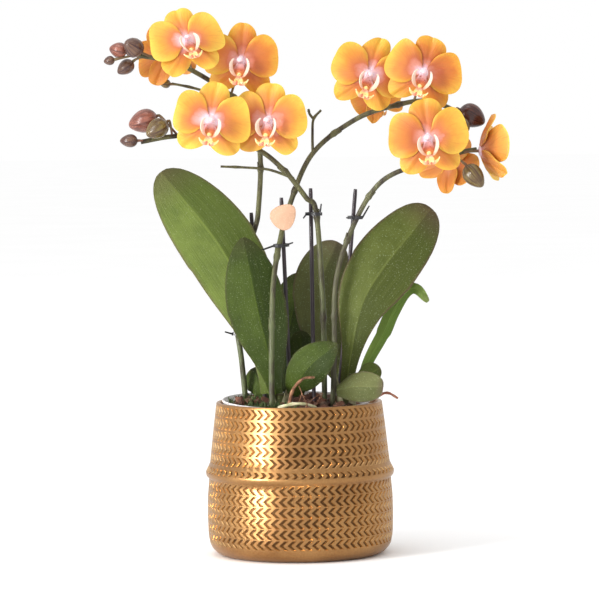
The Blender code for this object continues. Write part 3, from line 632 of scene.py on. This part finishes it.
def press_chevrons(pot):
    """Insets the selected faces and presses them in: the slopes in a lighter gold, a painted glint along
    the edges, and the pressed floors in a much darker gold.
    """
    for material in (
            gold_finish("gold_ridge", (0.41, 0.225, 0.086), (0.26, 0.125, 0.045), 0.33),
            # The lighter, glossier gold of the chevrons' slopes is a painted glint.
            gold_finish("gold_painted_glint", (0.66, 0.43, 0.20), (0.36, 0.20, 0.08), 0.24),
            gold_finish("gold_dent", (0.13, 0.060, 0.021), (0.045, 0.021, 0.008), 0.38)):
        pot.data.materials.append(material)
    bpy.ops.object.mode_set(mode="EDIT")
    pot.active_material_index = 1
    bpy.ops.object.material_slot_assign()
    bpy.ops.mesh.inset(thickness=CHEVRON_INSET * MM, depth=-CHEVRON_DEPTH * MM,
                       use_individual=False)
    pot.active_material_index = 2
    bpy.ops.object.material_slot_assign()
    bpy.ops.mesh.select_all(action="DESELECT")
    bpy.ops.mesh.select_mode(type="VERT")
    bpy.ops.object.mode_set(mode="OBJECT")


def cover_pot():
    """The pot, spun from its outline, with its rows of chevrons pressed in."""
    rings = chevron_rings()
    outline = [(0, 0)]
    outline += [(COVER_FOOT_R + COVER_FOOT_CORNER * math.sin(a),
                 COVER_FOOT_CORNER * (1 - math.cos(a)))
                for a in (math.radians(d) for d in (0, 18, 36, 54, 68))]
    outline += [(cover_radius(z), z) for z, lean, pressed in rings]
    outline += [(64.6, COVER_HEIGHT), (62.6, COVER_HEIGHT), (61.9, COVER_HEIGHT - 0.8),
                (64.5, 90), (67, 60), (69, 20), (60, COVER_FLOOR), (0, COVER_FLOOR)]
    columns = CHEVRONS_ROUND * COLUMNS_EACH
    pot = spun("chevron_cover_pot", outline, columns)
    pick_chevrons(pot, rings, columns)
    lean_rings(pot, rings)
    press_chevrons(pot)
    return settle(pot, "gold_pot", "cover_pot")


def seat_matrix():
    """The tilt and place of the grow pot in the cover pot."""
    about_x, about_y = (math.radians(d) for d in GROW_TILT)
    place = (GROW_RIM_AT[0] - GROW_HEIGHT * math.sin(about_y),
             GROW_RIM_AT[1] + GROW_HEIGHT * math.sin(about_x), COVER_FLOOR + GROW_LIFT)
    return moved(place) @ turned(about_x, about_y, 0)


def spun(name, outline, steps):
    """A closed body spun about Z from points of (radius, height) in millimetres."""
    body = made(bpy.ops.mesh.primitive_plane_add, name, size=0.01)
    bpy.ops.object.mode_set(mode="EDIT")
    bpy.ops.mesh.select_all(action="SELECT")
    bpy.ops.mesh.delete(type="VERT")
    bpy.ops.object.mode_set(mode="OBJECT")
    body.data.vertices.add(len(outline))
    for vertex, (radius, z) in zip(body.data.vertices, outline):
        vertex.co = Vector((radius, 0, z)) * MM
    body.data.edges.add(len(outline) - 1)
    for i, edge in enumerate(body.data.edges):
        edge.vertices = (i, i + 1)
    bpy.ops.object.mode_set(mode="EDIT")
    bpy.ops.mesh.select_all(action="SELECT")
    bpy.ops.mesh.spin(steps=steps, angle=math.tau, center=(0, 0, 0), axis=(0, 0, 1))
    bpy.ops.mesh.select_all(action="SELECT")
    bpy.ops.mesh.remove_doubles(threshold=SPIN_MERGE * MM)
    bpy.ops.mesh.select_all(action="SELECT")
    bpy.ops.mesh.normals_make_consistent(inside=False)
    bpy.ops.mesh.select_all(action="DESELECT")
    bpy.ops.object.mode_set(mode="OBJECT")
    return body


def grow_pot():
    """The clear grow pot, with a rolled lip and a stepped wall."""
    outline = [(0, 0), (42, 0), (43.6, 0.6), (44, 2), (54.6, 108), (55.2, 109.4),
               (57.0, 110), (57.4, 111), (57.6, 113.6), (58.0, 114.2), (57.8, 115),
               (57.1, 115), (56.7, 114), (56.4, 111.4), (54.0, 109.8), (53.6, 107),
               (43.0, 2), (42, 1), (0, 1)]
    pot = spun("clear_grow_pot", outline, 96)
    pot.data.materials.append(clear_finish("milky_plastic"))
    pot.data.transform(seat_matrix())
    return settle(pot, "clear_pot", "grow_pot")


# ---- bark, moss and roots --------------------------------------------------------------------
def chip(name, size, draw, material):
    """One bark chip: a bevelled slab pushed out of shape."""
    piece = made(bpy.ops.mesh.primitive_cube_add, name, size=1)
    piece.data.transform(Matrix.Diagonal((*(MM * side for side in size), 1)))
    apply_modifier(piece, "BEVEL", width=min(size) * 0.3 * MM, segments=1)
    for vertex in piece.data.vertices:
        vertex.co += Vector((draw.uniform(-1, 1), draw.uniform(-1, 1),
                             draw.uniform(-1, 1))) * (0.16 * min(size[0], size[1]) * MM)
    piece.data.materials.append(material)
    return piece


def scatter(draw, reach):
    """A random place on the bark, in millimetres from the grow pot's axis."""
    radius = reach * math.sqrt(draw.random())
    angle = draw.uniform(0, math.tau)
    return Vector((radius * math.cos(angle), radius * math.sin(angle), 0))


def bark():
    draw = random.Random(11)
    red = rough_finish("bark_red", ((0.030, 0.012, 0.008), (0.10, 0.035, 0.018),
                                    (0.20, 0.085, 0.045)), 180, 0.5)
    brown = rough_finish("bark_brown", ((0.018, 0.011, 0.008), (0.060, 0.030, 0.016),
                                        (0.14, 0.080, 0.045)), 210, 0.5)
    seat = seat_matrix()
    mound = spun("bark_bed", [(0, 90), (50, 90), (51.2, 104), (40, 107.5), (22, 108.6),
                              (0, 109)], 64)
    mound.data.materials.append(brown)
    apply_modifier(mound, "SUBSURF", levels=1, render_levels=1)
    for vertex in mound.data.vertices:
        if vertex.co.z > 0.1:
            vertex.co.z += 0.0016 * noise.noise(vertex.co * 150)
    mound.data.transform(seat)
    settle(mound, "bark", "bark_mix")
    kinds = [chip(f"chip_{i}", size, draw, (red, brown)[i % 2])
             for i, size in enumerate(CHIP_SIZES)]
    heaps = {red: [], brown: []}
    for i in range(CHIP_COUNT):
        kind = kinds[i % len(kinds)]
        place = scatter(draw, 49.5)
        place.z = 109.8 + draw.uniform(-1.5, 1.9)
        turn = turned(draw.gauss(0, 0.45), draw.gauss(0, 0.45), draw.uniform(0, math.tau))
        piece = copy_of(kind, f"bark_chip_{i}")
        piece.data.transform(seat @ moved(place) @ turn
                             @ Matrix.Scale(draw.uniform(0.7, 1.15), 4))
        heaps[kind.data.materials[0]].append(piece)
    upright = copy_of(kinds[0], "bark_chip_upright")
    upright.data.transform(moved((-45, -22, 119)) @ turned(0.2, 1.3, 0.5))
    heaps[red].append(upright)
    for kind in kinds:
        bpy.data.objects.remove(kind, do_unlink=True)
    settle(join(heaps[red], "red_bark_chips"), "bark")
    settle(join(heaps[brown], "brown_bark_chips"), "bark")
    perlite(draw, seat)
    moss(draw, seat)


def perlite(draw, seat):
    white = rough_finish("perlite", ((0.55, 0.50, 0.45), (0.85, 0.82, 0.78)), 400, 0.2)
    beads = []
    for i in range(PERLITE_COUNT):
        bead = made(bpy.ops.mesh.primitive_ico_sphere_add, "bead", subdivisions=2,
                    radius=0.0014)
        place = scatter(draw, 50)
        place.z = 111.2 + draw.uniform(0, 0.8)
        for vertex in bead.data.vertices:
            vertex.co *= 1 + 0.35 * noise.noise(vertex.co * 900 + Vector((i, 0, 0)))
        bead.data.transform(seat @ moved(place))
        beads.append(bead)
    beads[0].data.materials.append(white)
    settle(join(beads, "perlite_beads"), "bark")


def moss(draw, seat):
    """Moss and small green shoots at the left and along the back of the bark."""
    green = rough_finish("moss_green", ((0.014, 0.026, 0.007), (0.048, 0.075, 0.018),
                                        (0.12, 0.16, 0.045)), 300, 0.2)
    blades = []
    for i in range(MOSS_COUNT):
        angle = math.radians(draw.gauss(158, 30) if i % 2 else draw.gauss(225, 25))
        radius = draw.uniform(28, 52)
        foot = Vector((radius * math.cos(angle), radius * math.sin(angle), 111.5))
        lean = Vector((draw.gauss(0, 1), draw.gauss(0, 1), draw.uniform(0.5, 1.6)))
        lean = lean.normalized() * draw.uniform(3.0, 7.5)
        side = lean.cross(Vector((draw.gauss(0, 1), draw.gauss(0, 1), 0.3))).normalized()
        width = draw.uniform(0.6, 1.3)

        def blade(u, v, foot=foot, lean=lean, side=side, width=width):
            return foot + lean * v + side * (u * width * (1 - v * v * 0.9))
        blades.append(patch(f"blade_{i}", 1, 2, blade, 0.3, green))
    heap = join(blades, "moss_clumps")
    heap.data.transform(seat)
    settle(heap, "leaf")


def roots():
    finishes = {
        "dry": rough_finish("dry_sheath_brown", ((0.05, 0.022, 0.012), (0.18, 0.075, 0.035),
                                                 (0.32, 0.17, 0.09)), 260, 0.3),
        "red": rough_finish("root_red", ((0.16, 0.05, 0.03), (0.34, 0.12, 0.07),
                                         (0.5, 0.25, 0.15)), 260, 0.3),
        "pale": rough_finish("root_pale", ((0.22, 0.22, 0.10), (0.50, 0.47, 0.28),
                                           (0.68, 0.64, 0.45)), 200, 0.3),
    }
    for name, (route, radius, finish) in ROOTS.items():
        def thick(share, radius=radius):
            return radius * (1.05 - 0.45 * share) * (1 + 0.12 * math.sin(23 * share))
        piece = cane("loose_" + name, route, thick, 30, finishes[finish], 3)
        settle(piece, "root", name)
    threads = [cane(f"fibre_{i}", route, lambda share, r=radius: r, 24, finishes["dry"], 1)
               for i, (route, radius) in enumerate(FIBRES)]
    settle(join(threads, "loose_fibres"), "root")


# ---- stakes, clips and tag -------------------------------------------------------------------
def stakes():
    purple = plastic_finish("stake_purple", (0.012, 0.006, 0.009), (0.036, 0.020, 0.028), 0.42)
    for name, (foot, top) in STAKES.items():
        rod = cane("rod_" + name, [foot, top], lambda share: STAKE_R if share < 0.995 else 1.35,
                   60, purple, 4)
        settle(rod, "stake", name)


def clips():
    """The CAD clips keep their shape and take a worn black plastic."""
    black = plastic_finish("clip_black", (0.006, 0.006, 0.007), (0.03, 0.028, 0.03), 0.35)
    for name in ("clip_1", "clip_2", "clip_3", "clip_4"):
        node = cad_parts[name]
        node.data.materials.clear()
        node.data.materials.append(black)


def plant_tag():
    """A thin egg-shaped tag with rounded edges, and its point up and to the right."""
    centre = Vector(TAG_CENTRE) * MM
    tag = made(bpy.ops.mesh.primitive_circle_add, "egg_tag", vertices=48, radius=TAG_R * MM,
               fill_type="NGON", rotation=(math.pi / 2, 0, 0), location=centre)
    bpy.ops.object.transform_apply(location=True, rotation=True, scale=True)
    tip = Vector((1, 0, 1)).normalized()
    for vertex in tag.data.vertices:
        arm = vertex.co - centre
        run = arm.dot(tip)
        share = run / (TAG_R * MM)
        slim = 1.0 - 0.16 * share - 0.05 * share * share
        vertex.co = centre + tip * (run * (1.08 + 0.17 * share)) + (arm - tip * run) * slim
    bpy.ops.object.mode_set(mode="EDIT")
    bpy.ops.mesh.select_all(action="SELECT")
    bpy.ops.mesh.extrude_region_move(TRANSFORM_OT_translate={"value": (0, TAG_THICK * MM, 0)})
    bpy.ops.mesh.select_all(action="SELECT")
    bpy.ops.mesh.normals_make_consistent(inside=False)
    bpy.ops.object.mode_set(mode="OBJECT")
    apply_modifier(tag, "BEVEL", width=SMALL_BEVEL * MM, segments=2, limit_method="ANGLE")
    tag.data.materials.append(tag_finish("tag_peach"))
    settle(tag, "tag", "plant_tag")


# ---- leaves and crowns -----------------------------------------------------------------------
def leaf_half_width(t, width, base, widest, slow, sharp):
    """Half a leaf's width at the share t of its length, with a round tip."""
    if t < widest:
        swell = math.sin(math.pi / 2 * t / widest) ** slow
        return (base + (width - base) * swell) / 2
    past = (t - widest) / (1 - widest)
    return width / 2 * max(0.0, 1 - past ** 2.1) ** sharp + 0.9



def leaves():
    finishes = {name: leaf_finish(name, *tones) for name, *tones in (
        ("leaf_light", (0.126, 0.166, 0.034), (0.066, 0.094, 0.017), (0.11, 0.085, 0.045), 0.35),
        ("leaf_fresh", (0.190, 0.290, 0.055), (0.120, 0.200, 0.034), (0.15, 0.16, 0.06), 0.2),
        ("leaf_deep", (0.046, 0.070, 0.008), (0.020, 0.033, 0.004), (0.050, 0.045, 0.018), 0.35),
        ("leaf_dull", (0.128, 0.138, 0.048), (0.074, 0.083, 0.026), (0.11, 0.070, 0.055), 0.6),
        ("leaf_edged", (0.092, 0.112, 0.023), (0.047, 0.060, 0.010), (0.090, 0.048, 0.036),
         0.45))}
    for number, (name, spec) in enumerate(LEAVES.items()):
        route, width, base, widest, fold, underside, finish = spec
        slow, sharp = SHAPES.get(name, (1.5, 0.5))
        fine = smooth_path(route, LEAF_STATIONS)
        length = sum((b - a).length for a, b in zip(fine, fine[1:]))
        rows = LEAF_ROWS if length > SHORT_LEAF else SHORT_LEAF_ROWS
        shares = [1 - (1 - i / rows) ** 1.5 for i in range(rows + 1)]
        facing = Vector(underside).normalized()

        def surface(u, v):
            t = shares[round(v * rows)]
            i = round(t * (LEAF_STATIONS - 1))
            way = along(fine, i)
            half = leaf_half_width(t, width, base, widest, slow, sharp)
            side = way.cross(facing).normalized()
            out = side.cross(way).normalized()
            if out.dot(facing) < 0:
                out = -out
            bend = math.sqrt(u * u + 0.012) - 0.11
            wave = 0.5 * math.sin(7 * t + 2 * u + number) * u * u * (half / 20)
            keel = 0.7 * math.exp(-(u / 0.05) ** 2) * (1 - 0.6 * t)
            ripple = 0.25 * math.sin(3 * t * math.pi + number)
            depth = -2 * fold * half * bend + keel + wave + ripple
            return fine[i] + side * (half * u * 0.97) + out * depth

        columns = 24 if width > WIDE_LEAF else 12
        blade = patch("blade_" + name, columns, rows, surface, LEAF_THICK, finishes[finish])
        apply_modifier(blade, "BEVEL", width=SMALL_BEVEL * MM, segments=2, limit_method="ANGLE",
                       angle_limit=CREASE)
        settle(blade, "leaf", name)
    crowns(finishes)


def crowns(finishes):
    """The short stems of overlapping leaf bases, each with a dry beige sheath."""
    beige = rough_finish("sheath_beige", ((0.10, 0.09, 0.04), (0.27, 0.25, 0.13),
                                          (0.42, 0.38, 0.24)), 240, 0.25, 0.6)
    for name, (x, y) in CROWNS.items():
        route = [(x, y, 97), (x, y, 110), (x, y, 126)]
        core = cane("stem_of_" + name, route,
                    lambda share: 6.6 - 1.4 * (2 * share - 1) ** 2 - share, 16,
                    finishes["leaf_dull"], 5)
        sheaths = [core]
        for i, (angle, tall) in enumerate(((200, 30), (330, 22), (90, 18))):
            start = math.radians(angle)

            def wrap(u, v, start=start, tall=tall):
                a = start + u * 1.15 * (1 - 0.75 * v)
                radius = 7.2 + 1.5 * v * v
                return Vector((x + radius * math.cos(a), y + radius * math.sin(a),
                               112 + tall * v * (1 - 0.15 * u * u)))
            sheaths.append(patch(f"sheath_{i}", 10, 12, wrap, 0.7, beige))
        settle(join(sheaths, "sheathed_" + name), "leaf", name)


# ---- flower spikes and buds ------------------------------------------------------------------
def flower_matrix(centre, turns):
    """Places a flower that faces -Y: turned to the right, nodding and rolled, in degrees."""
    turn, nod, roll = (math.radians(d) for d in turns)
    spin = (Matrix.Rotation(turn, 4, "Z") @ Matrix.Rotation(nod, 4, "X")
            @ Matrix.Rotation(roll, 4, "Y"))
    return moved(centre) @ spin


def bract(spike, path, share, side, material):
    """The small pointed scale that clasps a spike at a joint."""
    i = round(share * (len(path) - 1))
    way = along(path, i)
    out = Vector((side, -0.5, 0.2))
    out = (out - way * out.dot(way)).normalized()
    across = way.cross(out)

    def scale(u, v):
        a = u * 1.25 * (1 - 0.8 * v)
        radius = 1.9 + 0.7 * v
        return (path[i] + way * (8.5 * v - 2.0)
                + (out * math.cos(a) + across * math.sin(a)) * radius)
    return patch(f"bract_{spike}_{i}", 8, 8, scale, 0.5, material)


def stalk(root, end, run_in, radius, stations, material):
    """The thin stalk of a flower or bud, which comes to its end along run_in."""
    return cane("stalk", [root, end + run_in, end], lambda share: radius + 0.5 * share ** 4,
                stations, material, 3)


def twig_radius(share):
    return 1.15 - 0.2 * share + 0.3 * math.exp(-((share - 0.8) / 0.05) ** 2)


def spikes(olive, brown, pink):
    for name, route in SPIKES.items():
        joints = JOINTS[name]
        stem_colour = brown if name == "flower_spike_4" else olive

        def thick(share):
            swell = sum(math.exp(-((share - at) / JOINT_SPREAD) ** 2) for at, side in joints)
            return SPIKE_R - SPIKE_TAPER * share + JOINT_SWELL * swell
        parts = [cane("stem_" + name, route, thick, SPIKE_STATIONS, stem_colour, 4)]
        path = smooth_path(route, SPIKE_STATIONS)
        parts += [bract(name, path, share, side, stem_colour) for share, side in joints]
        parts += [cane("twig", points, twig_radius, 30, stem_colour, 3)
                  for owner, points in TWIGS if owner == name]
        for owner, centre, turns, size, root, cup, depth in FLOWERS:
            if owner == name:
                behind = flower_matrix(centre, turns).to_3x3() @ Vector((0, 1, 0))
                end = Vector(centre) + behind * 0.6
                parts.append(stalk(root, end, behind * 9, 0.95, 16, pink))
        for node, owner, centre, tip, length, width, root, colour in BUDS:
            if owner == name:
                way = Vector(tip).normalized()
                end = Vector(centre) - way * (0.42 * length)
                parts.append(stalk(root, end, way * -4, 0.9, 14, pink))
        settle(join(parts, "jointed_" + name), "stem", name)


def buds():
    colours = {name: bud_finish("bud_" + name, light, dark) for name, light, dark in (
        ("purple", (0.16, 0.085, 0.050), (0.055, 0.022, 0.020)),
        ("olive", (0.20, 0.145, 0.045), (0.075, 0.036, 0.020)),
        ("salmon", (0.33, 0.120, 0.080), (0.13, 0.042, 0.030)),
        ("dark", (0.11, 0.036, 0.022), (0.035, 0.010, 0.010)))}
    for number, (node, owner, centre, tip, length, width, root, colour) in enumerate(BUDS, 1):
        bud = made(bpy.ops.mesh.primitive_uv_sphere_add, f"ribbed_bud_{number}", segments=36,
                   ring_count=20, radius=1)
        for vertex in bud.data.vertices:
            x, y, z = vertex.co
            angle = math.atan2(y, x)
            ribs = 1 + 0.05 * math.cos(3 * angle) * (1 - z * z) + 0.012 * math.cos(18 * angle)
            slim = 1 - 0.14 * z
            vertex.co = Vector((x * ribs * slim * width / 2, y * ribs * slim * width / 2,
                                z * length / 2 + 0.06 * length * max(0, z) ** 6)) * MM
        turn = Vector(tip).to_track_quat("Z", "Y").to_matrix().to_4x4()
        bud.data.transform(moved(centre) @ turn)
        bud.data.materials.append(colours[colour])
        settle(bud, "bud", *([node] if node else []))


# ---- flowers ---------------------------------------------------------------------------------
# Lobes: name, direction in degrees, length, width, how far in front, end's curl, notch,
# crease and how pointed the end is.
LOBES = [
    ("right_petal", 12, 29.5, 33, 2.6, 3.8, 0.02, 0.0, -0.10),
    ("dorsal_sepal", 90, 29, 24, -1.0, 2.5, 0.05, 1.3, 0.02),
    ("left_petal", 168, 29.5, 33, 2.6, 3.8, 0.02, 0.0, -0.10),
    ("left_sepal", 229, 30.5, 20.5, -1.8, 3.4, 0.0, -1.4, 0.16),
    ("right_sepal", 311, 30.5, 20.5, -1.8, 3.4, 0.0, -1.4, 0.16),
]
LOBE_FOOT = 3.0
LOBE_SWEEP = math.radians(150)
PETAL_SEED = 11


def lobe(name, direction, length, width, front, curl, notch, crease, point, skins):
    """One tepal: its grid fans out from a narrow foot to a round margin."""
    turn = math.radians(direction)
    out = Vector((math.cos(turn), 0, math.sin(turn)))
    side = Vector((math.sin(turn), 0, -math.cos(turn)))
    middle = (length + LOBE_FOOT + 1.5) / 2
    reach = length - middle

    def surface(u, v):
        a = u * LOBE_SWEEP
        dent = 1 - notch * math.exp(-(a / 0.16) ** 2)
        square = 1 + 0.05 * math.sin(2 * a) ** 2
        far = middle + reach * math.cos(a) * dent * square
        wide = width / 2 * math.sin(a) * square * (1 - point * math.cos(a))
        start = Vector((LOBE_FOOT * (1 - 0.3 * u * u), 2.4 * u))
        x = start.x + (far - start.x) * v
        y = start.y + (wide - start.y) * v
        r = min(1.0, math.hypot(x, y) / length)
        depth = (-front * math.sin(math.pi / 2 * min(1, 1.2 * r)) + curl * r * r
                 + 1.3 * (2 * y / width) ** 2 + crease * math.exp(-(y / 1.6) ** 2) * r
                 + 0.8 * v ** 3 * math.sin(4.2 * a + direction))
        return out * x + side * y + Vector((0, depth, 0))

    return patch(name, 34, 16, surface, 0.7, *skins)


def tepals(front_skin, back_skin):
    return join([lobe(*row, (front_skin, back_skin)) for row in LOBES], "tepals_pattern")


def ribbon(name, rows, columns, centre_line, half_widths, bulge, thickness, material,
           across=Vector((1, 0, 0))):
    """A strip along a smooth line, whose half width follows a list of values."""
    path = smooth_path(centre_line, rows + 1)

    def surface(u, v):
        i = round(v * rows)
        place = v * (len(half_widths) - 1)
        k = min(int(place), len(half_widths) - 2)
        half = half_widths[k] + (half_widths[k + 1] - half_widths[k]) * (place - k)
        way = along(path, i)
        out = across.cross(way).normalized()
        return path[i] + across * (half * u) + out * (bulge * (1 - u * u))
    return patch(name, columns, rows, surface, thickness, material)


def lip(cream, yellow, pink, red):
    """Column, two curved side lobes, the throat and the anchor-ended middle lobe."""
    column = made(bpy.ops.mesh.primitive_uv_sphere_add, "column", segments=18, ring_count=12,
                  radius=1)
    for vertex in column.data.vertices:
        x, y, z = vertex.co
        slim = 1 + 0.25 * y + 0.5 * math.exp(-((y + 0.5) / 0.3) ** 2) * abs(x)
        vertex.co = Vector((2.3 * x * slim, 5.0 * y - 4.6, 2.0 * z * slim + 1.2 - 1.4 * y * y)) * MM
    hub = made(bpy.ops.mesh.primitive_uv_sphere_add, "hub", segments=24, ring_count=12,
               radius=1)
    for vertex in hub.data.vertices:
        x, y, z = vertex.co
        vertex.co = Vector((4.4 * x, 1.6 * y + 0.2, 4.4 * z - 0.4)) * MM
    parts = [column, hub]
    for part in parts:
        part.data.materials.append(pink)
    for hand in (-1, 1):
        line = [(hand * 1.2, -7.4, -12.4), (hand * 3.9, -8.8, -10.8), (hand * 6.1, -9.6, -6.8),
                (hand * 6.7, -9.4, -2.6), (hand * 5.9, -8.8, 0.8), (hand * 4.7, -8.4, 2.0)]
        across = Vector((-hand * 0.45, 1, 0)).normalized()
        parts.append(ribbon("side_lobe", 18, 6, line, [0.8, 2.0, 2.6, 2.4, 1.8, 0.5], 0.8, 0.7,
                            cream, across))
    parts.append(ribbon("throat", 8, 6, [(0, -3.5, -2.5), (0, -5.2, -7), (0, -7.8, -11.5)],
                        [2.6, 3.9, 2.4], -1.2, 0.7, red))
    parts.append(ribbon("middle_lobe", 10, 6, [(0, -7.4, -10.5), (0, -9.6, -13.2),
                                               (0, -10.8, -16.4), (0, -10.0, -18.6)],
                        [1.7, 2.0, 3.2, 3.4, 1.4], 0.7, 0.9, yellow))
    for hand in (-1, 1):
        line = [(hand * 0.8, -10.6, -16.8), (hand * 3.6, -10.8, -17.2),
                (hand * 6.2, -10.4, -15.6), (hand * 7.4, -10.0, -13.6)]
        parts.append(ribbon("fluke", 8, 3, line, [1.6, 1.5, 1.0, 0.15], 0.3, 0.7, yellow,
                            Vector((0, 0.35, 1)).normalized()))
    callus = made(bpy.ops.mesh.primitive_uv_sphere_add, "callus", segments=14, ring_count=8,
                  radius=0.0019, location=(0, -0.0078, -0.0108))
    callus.data.materials.append(yellow)
    parts.append(callus)
    return join(parts, "lip_pattern")


def flowers(front_skin, back_skin):
    noise.seed_set(PETAL_SEED)      # unseeded, noise_vector starts from the clock
    cream = lip_finish("lip_cream", [(0.0, (0.70, 0.28, 0.16)), (0.3, (0.82, 0.58, 0.42)),
                                     (1.0, (0.86, 0.74, 0.62))], (0.74, 0.36, 0.30))
    yellow = lip_finish("lip_yellow", [(0.0, (0.58, 0.12, 0.06)), (0.35, (0.82, 0.42, 0.26)),
                                       (0.6, (0.92, 0.68, 0.22)), (1.0, (0.94, 0.84, 0.50))],
                        (0.62, 0.12, 0.05))
    pink = lip_finish("column_pink", [(0.0, (0.82, 0.55, 0.62)), (1.0, (0.84, 0.68, 0.72))],
                      (0.85, 0.55, 0.62))
    pattern = tepals(front_skin, back_skin)
    red = lip_finish("lip_throat", [(0.0, (0.78, 0.50, 0.52)), (0.5, (0.56, 0.14, 0.07)),
                                    (1.0, (0.74, 0.28, 0.05))], (0.36, 0.03, 0.03))
    lip_pattern = lip(cream, yellow, pink, red)
    for number, (owner, centre, turns, size, root, cup, depth) in enumerate(FLOWERS, 1):
        place = flower_matrix(centre, turns) @ Matrix.Scale(size, 4)
        for kind, name, slot, node in ((pattern, f"open_flower_{number}", "petal",
                                        f"flower_{number}"),
                                       (lip_pattern, f"open_lip_{number}", "lip",
                                        f"flower_{number}_lip")):
            bloom = copy_of(kind, name)
            # Each vertex takes the flower's depth of colour, partly painted shade, plus a random change
            # of tone.
            tone_and_shade = bloom.data.attributes.new("depth", "FLOAT", "POINT")
            for i, vertex in enumerate(bloom.data.vertices):
                flat = math.hypot(vertex.co.x, vertex.co.z) / (PETAL_REACH * MM)
                if kind is pattern:
                    drift = noise.noise_vector(vertex.co * 38 + Vector((7 * number, 0, 0)))
                    vertex.co += drift * (0.0030 * flat)
                    vertex.co.y -= cup * MM * flat ** 1.6
                side = noise.noise(vertex.co * 30 + Vector((3 * number, 0, 5)))
                tone_and_shade.data[i].value = min(1, max(0, depth + 0.95 * side))
            bloom.data.transform(place)
            settle(bloom, slot, node)
    for kind in (pattern, lip_pattern):
        bpy.data.objects.remove(kind, do_unlink=True)


# ---- floor, light and camera -----------------------------------------------------------------
def area_light(name, place, aim, size, power):
    lamp = made(bpy.ops.object.light_add, name, type="AREA", location=place)
    lamp.data.shape = "RECTANGLE"
    lamp.data.size, lamp.data.size_y = size
    lamp.data.energy = power
    lamp.rotation_euler = (Vector(aim) - Vector(place)).to_track_quat("-Z", "Y").to_euler()
    return lamp


def studio():
    floor = made(bpy.ops.mesh.primitive_circle_add, "floor", vertices=96, radius=25,
                 fill_type="NGON")
    pale = Finish("floor_pale", 0.9, Specular_IOR_Level=0.0)
    grain = pale.noise(3, 2)
    pale.paint(pale.ramp(grain, [(0.3, (0.98, 0.98, 0.98)), (0.7, (0.995, 0.995, 0.995))]))
    floor.data.materials.append(pale.material)
    world = bpy.data.worlds.new("studio")
    world.use_nodes = True
    background = world.node_tree.nodes["Background"]
    background.inputs["Color"].default_value = (1.0, 1.0, 1.0, 1)
    background.inputs["Strength"].default_value = 1.0
    bpy.context.scene.world = world
    area_light("key", (-1.75, -1.45, 0.95), (0, 0, 0.2), (0.6, 2.0), 40)
    strip = area_light("pot_strip", (-0.92, -0.77, 0.06), (0, 0, 0.04), (0.25, 0.4), 0.55)
    strip.data.spread = math.radians(26)
    area_light("top", (-0.4, -0.2, 2.2), (0, 0, 0.3), (1.0, 1.0), 6)
    bpy.context.scene.view_settings.view_transform = "Standard"


CAMERA_AT = (0.00125, -2.7, 0.345)
CAMERA_PITCH = math.radians(3.0851)
CAMERA_ROLL = math.radians(0.7)
CAMERA_SENSOR = 36
CAMERA_LENS = 206.88


def camera():
    """Level with the flowers, pitched a little down, through a long lens."""
    forward = Vector((0, math.cos(CAMERA_PITCH), -math.sin(CAMERA_PITCH)))
    level = Vector((1, 0, 0))
    above = level.cross(forward)
    right = level * math.cos(CAMERA_ROLL) - above * math.sin(CAMERA_ROLL)
    up = level * math.sin(CAMERA_ROLL) + above * math.cos(CAMERA_ROLL)
    cam = made(bpy.ops.object.camera_add, "camera")
    turn = Matrix((right, up, -forward)).transposed().to_4x4()
    cam.matrix_world = Matrix.Translation(CAMERA_AT) @ turn
    cam.data.sensor_width = CAMERA_SENSOR
    cam.data.lens = CAMERA_LENS
    cam.data.clip_end = 100
    bpy.context.scene.camera = cam


def main():
    camera()
    studio()
    cover_pot()
    grow_pot()
    bark()
    roots()
    stakes()
    clips()
    plant_tag()
    leaves()
    olive = stem_finish("stem_olive", (0.086, 0.100, 0.042), (0.115, 0.108, 0.045),
                        (0.036, 0.026, 0.016))
    brown = stem_finish("stem_brown", (0.062, 0.062, 0.030), (0.125, 0.125, 0.056),
                        (0.040, 0.030, 0.020))
    pink = stem_finish("stalk_pink", (0.16, 0.13, 0.07), (0.20, 0.15, 0.075),
                       (0.17, 0.07, 0.045))
    spikes(olive, brown, pink)
    buds()
    flowers(petal_finish("petal_face", False), petal_finish("petal_back", True))


main()
